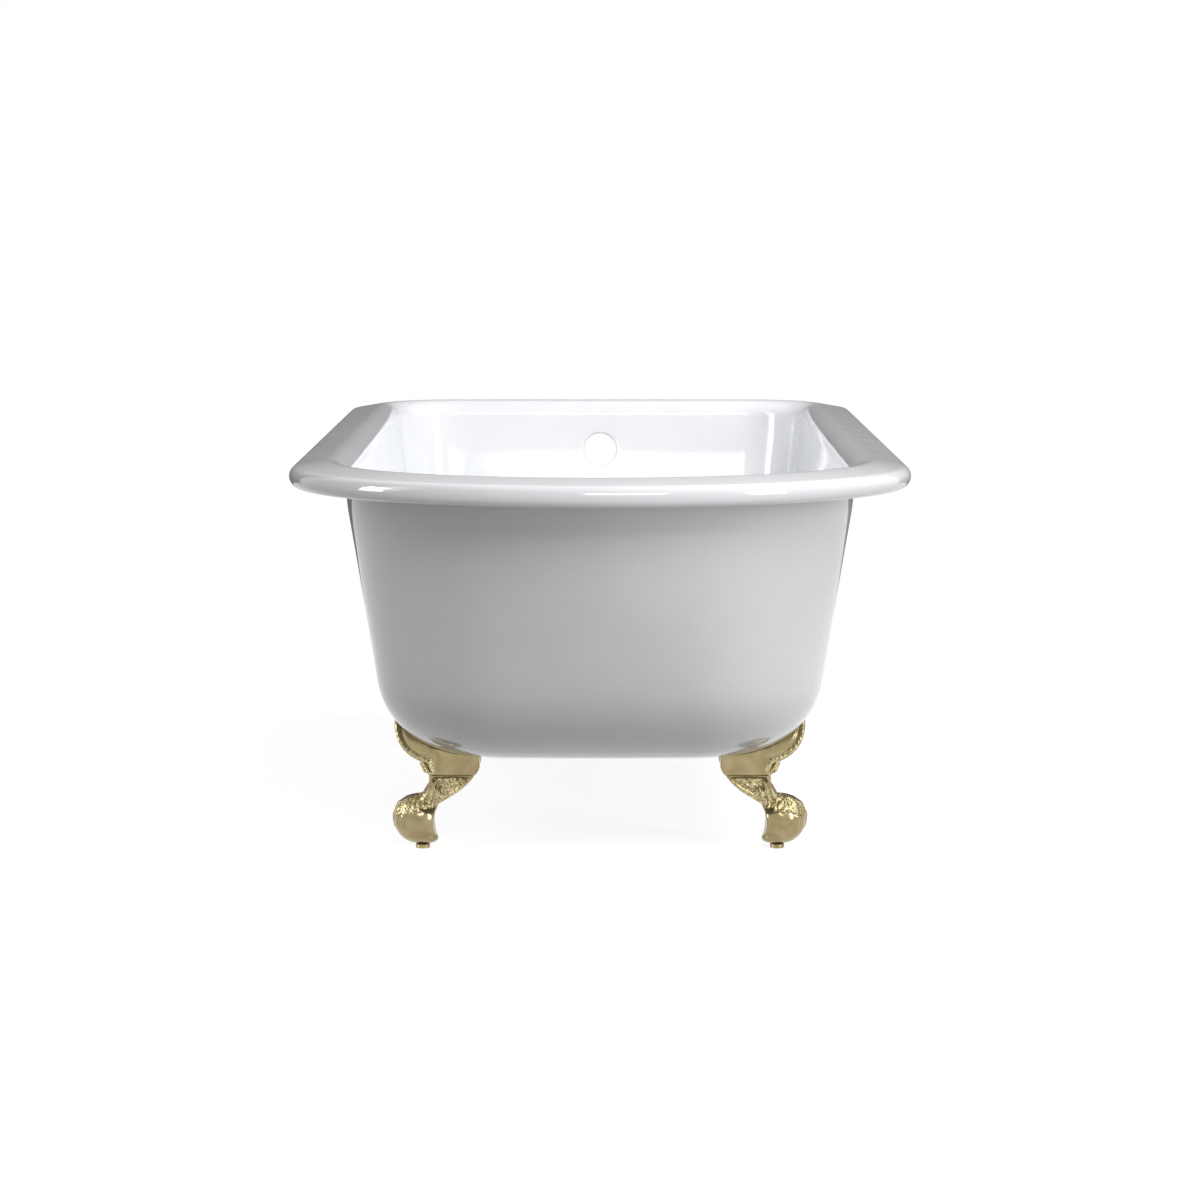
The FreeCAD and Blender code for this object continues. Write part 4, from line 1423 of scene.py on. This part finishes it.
    def scrolls(self, field_now: np.ndarray) -> np.ndarray:
        """Adds the beaded scroll under the leaf.

        Args:
            field_now: The foot so far.

        Returns:
            The foot with the scroll.
        """
        middle_out, middle_up = self.scroll.centre
        for aside, above, radius, half in self.scroll.rolls:
            roll = self.rod_along((middle_out + aside, middle_up + above), radius, half)
            field_now = soft_join(field_now, roll, blend=1.8)
        out, along, up = self.grid
        around, half, radius = self.scroll.ring
        ring = np.hypot(np.hypot(out - middle_out, up - middle_up) - around, np.abs(along) - half) - radius
        field_now = soft_join(field_now, ring, blend=0.8)
        for share in np.linspace(0.0, 1.0, self.scroll.bead_count).tolist():
            bead_out = middle_out + self.scroll.bead_start[0] - self.scroll.bead_run[0] * share
            bead_up = middle_up + self.scroll.bead_start[1] - self.scroll.bead_run[1] * share
            beside = np.abs(along) - self.scroll.bead_half
            beads = np.sqrt((out - bead_out) ** 2 + beside**2 + (up - bead_up) ** 2)
            field_now = soft_join(field_now, beads - self.scroll.bead_radius, blend=0.6)
        return field_now

    def toe(self, bearing: float) -> np.ndarray:
        """One toe with its talon, laid over the ball.

        Args:
            bearing: The way it points, turned from outwards.

        Returns:
            The field.
        """
        knots = []
        for drop, radius, proud in self.toe_steps:
            reach = self.ball_radius + proud - radius
            flat = reach * math.sin(math.radians(drop))
            out = self.ball_centre[0] + flat * math.cos(bearing)
            up = self.ball_centre[1] + reach * math.cos(math.radians(drop))
            knots.append(((out, flat * math.sin(bearing), up), radius))
        return self.chain(knots, blend=1.5)

    def ball(self) -> tuple[np.ndarray, np.ndarray]:
        """The ball with its web, toes and the lip behind it.

        Returns:
            The field, and where the surface is chased.
        """
        out, along, up = self.grid
        middle_out, middle_up = self.ball_centre
        gap = np.sqrt((out - middle_out) ** 2 + along**2 + (up - middle_up) ** 2) - self.ball_radius
        bearing = np.arctan2(along, out - middle_out)
        drop = np.arctan2(np.hypot(out - middle_out, along), up - middle_up)
        around, down = self.web.scale
        feather = self.web.feather.at(bearing * around, drop * down, np.zeros_like(out))
        edge = up - middle_up - self.web.rise - self.web.droop * np.abs(bearing)
        edge = edge + self.web.fringe * (feather - 0.5)
        band = soft_step(*self.web.band[:2], edge) * soft_step(*self.web.band[2:], edge)
        web = self.web.depth * soft_step(*self.web.edge, edge)
        web = web + self.web.feathering * band * (feather - self.web.balance)
        lip = self.ellipsoid(self.lip_centre, self.lip_radii)
        round_ball = soft_join(gap - web, lip, blend=4.0)
        scoop = self.ellipsoid((self.scoop_centre[0], 0.0, self.scoop_centre[1]), self.scoop_radii)
        round_ball = soft_cut(round_ball, scoop, blend=3.0)
        for toe_bearing in (0.0, self.toe_spread, -self.toe_spread):
            round_ball = soft_join(round_ball, self.toe(toe_bearing), blend=1.6)
        return round_ball, band

    def cuts(self, field_now: np.ndarray) -> np.ndarray:
        """Opens the seat on the tub, the hollow for the nut, the stud's holes and the screw's bore.

        Args:
            field_now: The foot so far.

        Returns:
            The foot as it fits the bath.
        """
        out, along, up = self.grid
        relief = self.seating.relief * soft_step(*self.seating.relief_span, np.abs(along))
        seat = self.wall_radius + self.seating.gap + relief
        curved = seat - np.hypot(out - self.wall_axis[0], up - self.wall_axis[1])
        flat = seat - (self.wall_axis[1] - up)
        field_now = np.maximum(field_now, np.where(out > self.wall_axis[0], curved, flat))
        hollow = outline_distance(smooth_loop(self.hollow, steps=4), out, up)
        hollow = -soft_join(-hollow, self.hollow_half - np.abs(along), blend=4.0)
        field_now = soft_cut(field_now, hollow, blend=2.0)
        axis = np.array([self.stud[0] - self.wall_axis[0], self.stud[1] - self.wall_axis[1]])
        axis /= np.hypot(*axis)
        depth = (out - self.wall_axis[0]) * axis[0] + (up - self.wall_axis[1]) * axis[1]
        across = (out - self.wall_axis[0]) * -axis[1] + (up - self.wall_axis[1]) * axis[0]
        gap = np.hypot(across, along)
        nearest, furthest = self.seating.boss_span
        boss_depth = np.abs(depth - (nearest + furthest) / 2) - (furthest - nearest) / 2
        boss = np.maximum(gap - self.seating.boss_hole, boss_depth)
        stud_hole = np.maximum(gap - self.seating.stud_hole, depth - self.seating.stud_end)
        screw_gap = np.hypot(out - self.screw_out, along)
        bore = np.maximum(screw_gap - self.seating.screw_bore, up - self.seating.screw_end)
        for tool in (boss, stud_hole, bore):
            field_now = np.maximum(field_now, -tool)
        return np.maximum(field_now, self.ball_flat - up)

    def tarnish_and_shade_in_recesses(self, field_now: np.ndarray) -> np.ndarray:
        """Finds how deep in a hollow each place lies, as the mask for the brass's tarnish and painted shade
        in hollows.

        Args:
            field_now: The finished field.

        Returns:
            Shares from 0 on open faces to 1 in hollows.
        """
        blurred = field_now
        for axis in range(3):
            shifts = range(-self.hollow_reach, self.hollow_reach + 1)
            rows = [np.roll(blurred, shift, axis) for shift in shifts]
            blurred = sum(rows) / len(rows)
        return np.clip((field_now - blurred) * self.hollow_gain, 0.0, 1.0)

    def mesh(self) -> Mesh:
        """Sculpts the foot and skins it with quads.

        Returns:
            The mesh in metres, about the foot's own upright.
        """
        body, chased_body = self.body()
        ball, chased_web = self.ball()
        solid = self.cuts(self.scrolls(soft_join(body, ball, blend=4.0))).astype(np.float32)
        points, quads, cells = skin_of(solid)
        starts = np.array([axis.ravel()[0] for axis in self.grid])
        mesh = bpy.data.meshes.new("claw_foot")
        mesh.from_pydata(((starts + points * self.step) * MM).tolist(), [], quads.tolist())
        masks = {Mask.HOLLOW_TARNISH_AND_SHADE: self.tarnish_and_shade_in_recesses(solid), Mask.CHASING: np.maximum(chased_body, chased_web)}
        for mask, share in masks.items():
            layer = mesh.attributes.new(mask.value, "FLOAT", "POINT")
            whole = np.broadcast_to(share, solid.shape)
            layer.data.foreach_set("value", whole[tuple(cells.T)].astype(np.float32))
        mesh.shade_smooth()
        return mesh

    def build(self) -> dict[Corner, Object]:
        """Makes the four feet from one sculpted mesh.

        Returns:
            The foot at each corner.
        """
        mesh = self.mesh()
        feet = {}
        for corner in Corner:
            low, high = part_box(f"foot_{corner.value}")
            foot = new_object(f"claw_foot_{corner.value}", mesh)
            place = Matrix.Translation((0.0, (low.y + high.y) / 2, 0.0))
            foot.matrix_world = place @ Matrix.Rotation(corner.turn, 4, "Z")
            feet[corner] = foot
        return feet

    def dress(self, feet: dict[Corner, Object], finishes: Finishes) -> None:
        """Gives the feet their brass and their place in the frame.

        Args:
            feet: The foot at each corner.
            finishes: The materials.
        """
        feet[Corner.HEAD_RIGHT].data.materials.append(finishes.brass)
        for corner, foot in feet.items():
            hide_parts(f"foot_{corner.value}")
            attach(foot, "bath")


def part_of(solid: np.ndarray, corner: np.ndarray) -> np.ndarray:
    """One corner of every cell of a field.

    Args:
        solid: The field.
        corner: Which corner, 0 or 1 along each axis.

    Returns:
        The field's values there, one per cell.
    """
    spans = tuple(slice(start, start + count - 1) for start, count in zip(corner, solid.shape))
    return solid[spans]


def skin_of(solid: np.ndarray) -> tuple[np.ndarray, np.ndarray, np.ndarray]:
    """Skins the inside of a distance field with quads, one point in each cell the surface crosses.

    Args:
        solid: The field, negative inside.

    Returns:
        The points in cells, the quads' corners, and the nearest grid place of each point.
    """
    counts = np.array(solid.shape) - 1
    total = np.zeros(tuple(counts) + (3,), dtype=np.float32)
    crossings = np.zeros(tuple(counts), dtype=np.int32)
    corners = [np.array(corner) for corner in np.ndindex(2, 2, 2)]
    for start in corners:
        for axis in range(3):
            if start[axis]:
                continue
            end = start.copy()
            end[axis] = 1
            first, last = part_of(solid, start), part_of(solid, end)
            crossed = (first < 0) != (last < 0)
            share = first[crossed] / (first[crossed] - last[crossed])
            place = np.repeat(start[None, :].astype(np.float32), len(share), axis=0)
            place[:, axis] = share
            total[crossed] += place
            crossings[crossed] += 1
    used = crossings > 0
    cells = np.argwhere(used)
    points = total[used] / crossings[used][:, None] + cells
    index = np.full(tuple(counts), -1, dtype=np.int64)
    index[used] = np.arange(len(cells))
    quads = []
    for axis in range(3):
        first_other, second_other = (axis + 1) % 3, (axis + 2) % 3
        low = [slice(1, -1)] * 3
        high = [slice(1, -1)] * 3
        low[axis] = slice(0, -1)
        high[axis] = slice(1, None)
        crossed = (solid[tuple(low)] < 0) != (solid[tuple(high)] < 0)
        rows = np.argwhere(crossed)
        starts = rows + 1
        starts[:, axis] -= 1
        inward = solid[tuple(starts.T)] < 0
        ring = []
        for back_first, back_second in ((0, 0), (1, 0), (1, 1), (0, 1)):
            cell = starts.copy()
            cell[:, first_other] -= back_first
            cell[:, second_other] -= back_second
            ring.append(index[tuple(cell.T)])
        faces = np.stack(ring, axis=1)
        faces[~inward] = faces[~inward][:, ::-1]
        quads.append(faces)
    return points, np.concatenate(quads), cells


@dataclass
class Fixings:
    """The pads, screws, studs, washers and nuts, kept as the frame has them."""

    def dress(self, finishes: Finishes) -> None:
        """Gives each kept piece its metal.

        Args:
            finishes: The materials.
        """
        metals = {
            "levelling_pad": finishes.pad_brass,
            "levelling_screw": finishes.steel,
            "fixing_stud": finishes.zinc,
            "washer": finishes.zinc,
            "nut": finishes.zinc,
        }
        for kind, metal in metals.items():
            for corner in Corner:
                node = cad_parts[f"{kind}_{corner.value}"]
                node.data.materials.clear()
                node.data.materials.append(metal)


@dataclass(frozen=True)
class Softbox:
    """One lamp: where it hangs, where it points, its width and height, its watts and what it reaches."""

    name: str
    place: Triple
    target: Triple
    size: Pair
    power: float
    mirrored: bool = True
    lighting: bool = True


@dataclass
class Studio:
    """Camera, lights, cards and the pale floor."""

    camera_place: Triple = (0.0, -5.3964, 0.8739)
    camera_pitch: float = math.radians(6.199)
    camera_lens: float = 118.08
    camera_sensor: float = 36.0
    surround: float = 0.11
    floor_size: float = 30.0
    floor_fade: Pair = (0.7, 1.6)
    floor_stretch: Triple = (1.0, 0.62, 1.0)
    floor_paint: float = 0.31
    floor_lift: float = 0.88
    lamps: tuple[Softbox, ...] = (
        Softbox("front_softbox", (0.55, -4.1, 2.6), (0.0, 0.0, 0.35), (1.8, 1.2), 74.0),
        Softbox("right_softbox", (2.9, -2.5, 1.15), (0.0, -0.4, 0.35), (0.9, 1.7), 48.0),
        Softbox("left_window", (-2.6, -1.1, 1.6), (0.2, 0.3, 0.35), (0.7, 1.9), 12.0),
        Softbox("overhead_softbox", (1.1, 0.0, 2.75), (-0.1, 0.1, 0.3), (1.2, 1.8), 52.0),
        Softbox("rear_fill", (-1.7, 2.0, 1.9), (0.0, 0.5, 0.4), (0.8, 0.8), 15.0, mirrored=False),
        Softbox("left_strip", (-2.7, -0.85, 1.0), (0.0, -0.3, 0.5), (0.6, 1.5), 42.0, lighting=False),
    )
    card_place: Triple = (0.0, 2.2, 1.2)
    card_size: Pair = (5.0, 2.4)
    card_paint: float = 0.2

    def build(self) -> None:
        """Makes the studio."""
        self._camera()
        self._world()
        self._floor()
        for softbox in self.lamps:
            self._lamp(softbox)
        self._card("rear_flag")

    def _camera(self) -> None:
        """Places the camera as the picture was taken."""
        lens = bpy.data.cameras.new("camera")
        lens.lens = self.camera_lens
        lens.sensor_width = self.camera_sensor
        camera = new_object("camera", lens)
        camera.location = self.camera_place
        camera.rotation_euler = (QUARTER_TURN - self.camera_pitch, 0.0, 0.0)
        bpy.context.scene.camera = camera

    def _world(self) -> None:
        """Makes a white surround, softer as a light than it looks."""
        world = bpy.data.worlds.new("studio")
        world.use_nodes = True
        world.node_tree.nodes.clear()
        wiring = Wiring(world.node_tree)
        seen = self._seen(wiring)
        strength = wiring.add("ShaderNodeMapRange", {"Value": seen, "To Min": self.surround, "To Max": 1.0})
        light = wiring.add("ShaderNodeBackground", {"Color": WHITE, "Strength": strength.outputs["Result"]})
        wiring.add("ShaderNodeOutputWorld", {"Surface": light.outputs["Background"]})
        bpy.context.scene.world = world
        bpy.context.scene.view_settings.view_transform = "Standard"

    def _seen(self, wiring: Wiring) -> NodeSocket:
        """Tells rays that see the surround from those that only bring light.

        Args:
            wiring: The wiring of the world or of a material.

        Returns:
            A socket that is 1 where the surround is seen, outright, mirrored or through glass.
        """
        path = wiring.add("ShaderNodeLightPath")
        seen = wiring.math("MAXIMUM", path.outputs["Is Camera Ray"], path.outputs["Is Glossy Ray"])
        return wiring.math("MAXIMUM", seen, path.outputs["Is Transmission Ray"])

    def _floor(self) -> None:
        """Lays a pale floor that runs out into the white surround."""
        half = self.floor_size / 2
        corners = [(-half, -half, 0.0), (half, -half, 0.0), (half, half, 0.0), (-half, half, 0.0)]
        mesh = bpy.data.meshes.new("floor")
        mesh.from_pydata(corners, [], [(0, 1, 2, 3)])
        floor = new_object("floor", mesh)
        material, wiring = new_material("pale_floor")
        place = wiring.add("ShaderNodeTexCoord")
        stretched = wiring.add(
            "ShaderNodeVectorMath",
            {0: place.outputs["Object"], 1: self.floor_stretch},
            operation="MULTIPLY",
        )
        away = wiring.add("ShaderNodeVectorMath", {0: stretched.outputs["Vector"]}, operation="LENGTH")
        near, far = self.floor_fade
        fade = wiring.add(
            "ShaderNodeMapRange",
            {"Value": away.outputs["Value"], "From Min": near, "From Max": far},
            interpolation_type="SMOOTHSTEP",
        )
        seen = self._seen(wiring)
        paint = wiring.add("ShaderNodeBsdfDiffuse", {"Color": rgba((self.floor_paint,) * 3)})
        shown = wiring.add("ShaderNodeEmission", {"Color": WHITE, "Strength": self.floor_lift})
        lifted = wiring.add("ShaderNodeAddShader", {0: paint.outputs["BSDF"], 1: shown.outputs["Emission"]})
        white = wiring.add("ShaderNodeEmission", {"Color": WHITE, "Strength": 1.0})
        faded = wiring.add(
            "ShaderNodeMixShader",
            {0: fade.outputs["Result"], 1: lifted.outputs["Shader"], 2: white.outputs["Emission"]},
        )
        mixed = wiring.add(
            "ShaderNodeMixShader", {0: seen, 1: paint.outputs["BSDF"], 2: faded.outputs["Shader"]}
        )
        wiring.add("ShaderNodeOutputMaterial", {"Surface": mixed.outputs["Shader"]})
        mesh.materials.append(material)

    def _lamp(self, softbox: Softbox) -> None:
        """Hangs one softbox.

        Args:
            softbox: The lamp's values.
        """
        light = bpy.data.lights.new(softbox.name, "AREA")
        light.shape = "RECTANGLE"
        light.size, light.size_y = softbox.size
        light.energy = softbox.power
        lamp = new_object(softbox.name, light)
        lamp.location = softbox.place
        way = Vector(softbox.target) - Vector(softbox.place)
        lamp.rotation_euler = way.to_track_quat("-Z", "Y").to_euler()
        lamp.visible_glossy = softbox.mirrored
        lamp.visible_diffuse = softbox.lighting

    def _card(self, name: str) -> None:
        """Stands a dark card for the glossy faces to mirror.

        Args:
            name: The card's name.
        """
        across, high = self.card_size[0] / 2, self.card_size[1] / 2
        mesh = bpy.data.meshes.new(name)
        corners = [(-across, 0.0, -high), (across, 0.0, -high), (across, 0.0, high), (-across, 0.0, high)]
        mesh.from_pydata(corners, [], [(0, 1, 2, 3)])
        card = new_object(name, mesh)
        card.location = self.card_place
        card.visible_camera = False
        material, wiring = new_material(name)
        paint = wiring.add("ShaderNodeBsdfDiffuse", {"Color": rgba((self.card_paint,) * 3)})
        wiring.add("ShaderNodeOutputMaterial", {"Surface": paint.outputs["BSDF"]})
        mesh.materials.append(material)


def main() -> None:
    """Builds the bath and the studio in order."""
    logging.basicConfig(level=logging.INFO, format="%(name)s: %(message)s")
    finishes = Finishes()
    finishes.build()
    tub = Tub()
    casting = tub.build()
    tub.dress(casting, finishes)
    log.info("tub has %d faces", len(casting.data.polygons))
    claw_foot = ClawFoot(tub)
    feet = claw_foot.build()
    claw_foot.dress(feet, finishes)
    log.info("each foot has %d faces", len(feet[Corner.HEAD_RIGHT].data.polygons))
    Fixings().dress(finishes)
    Studio().build()


if __name__ == "__main__":
    main()
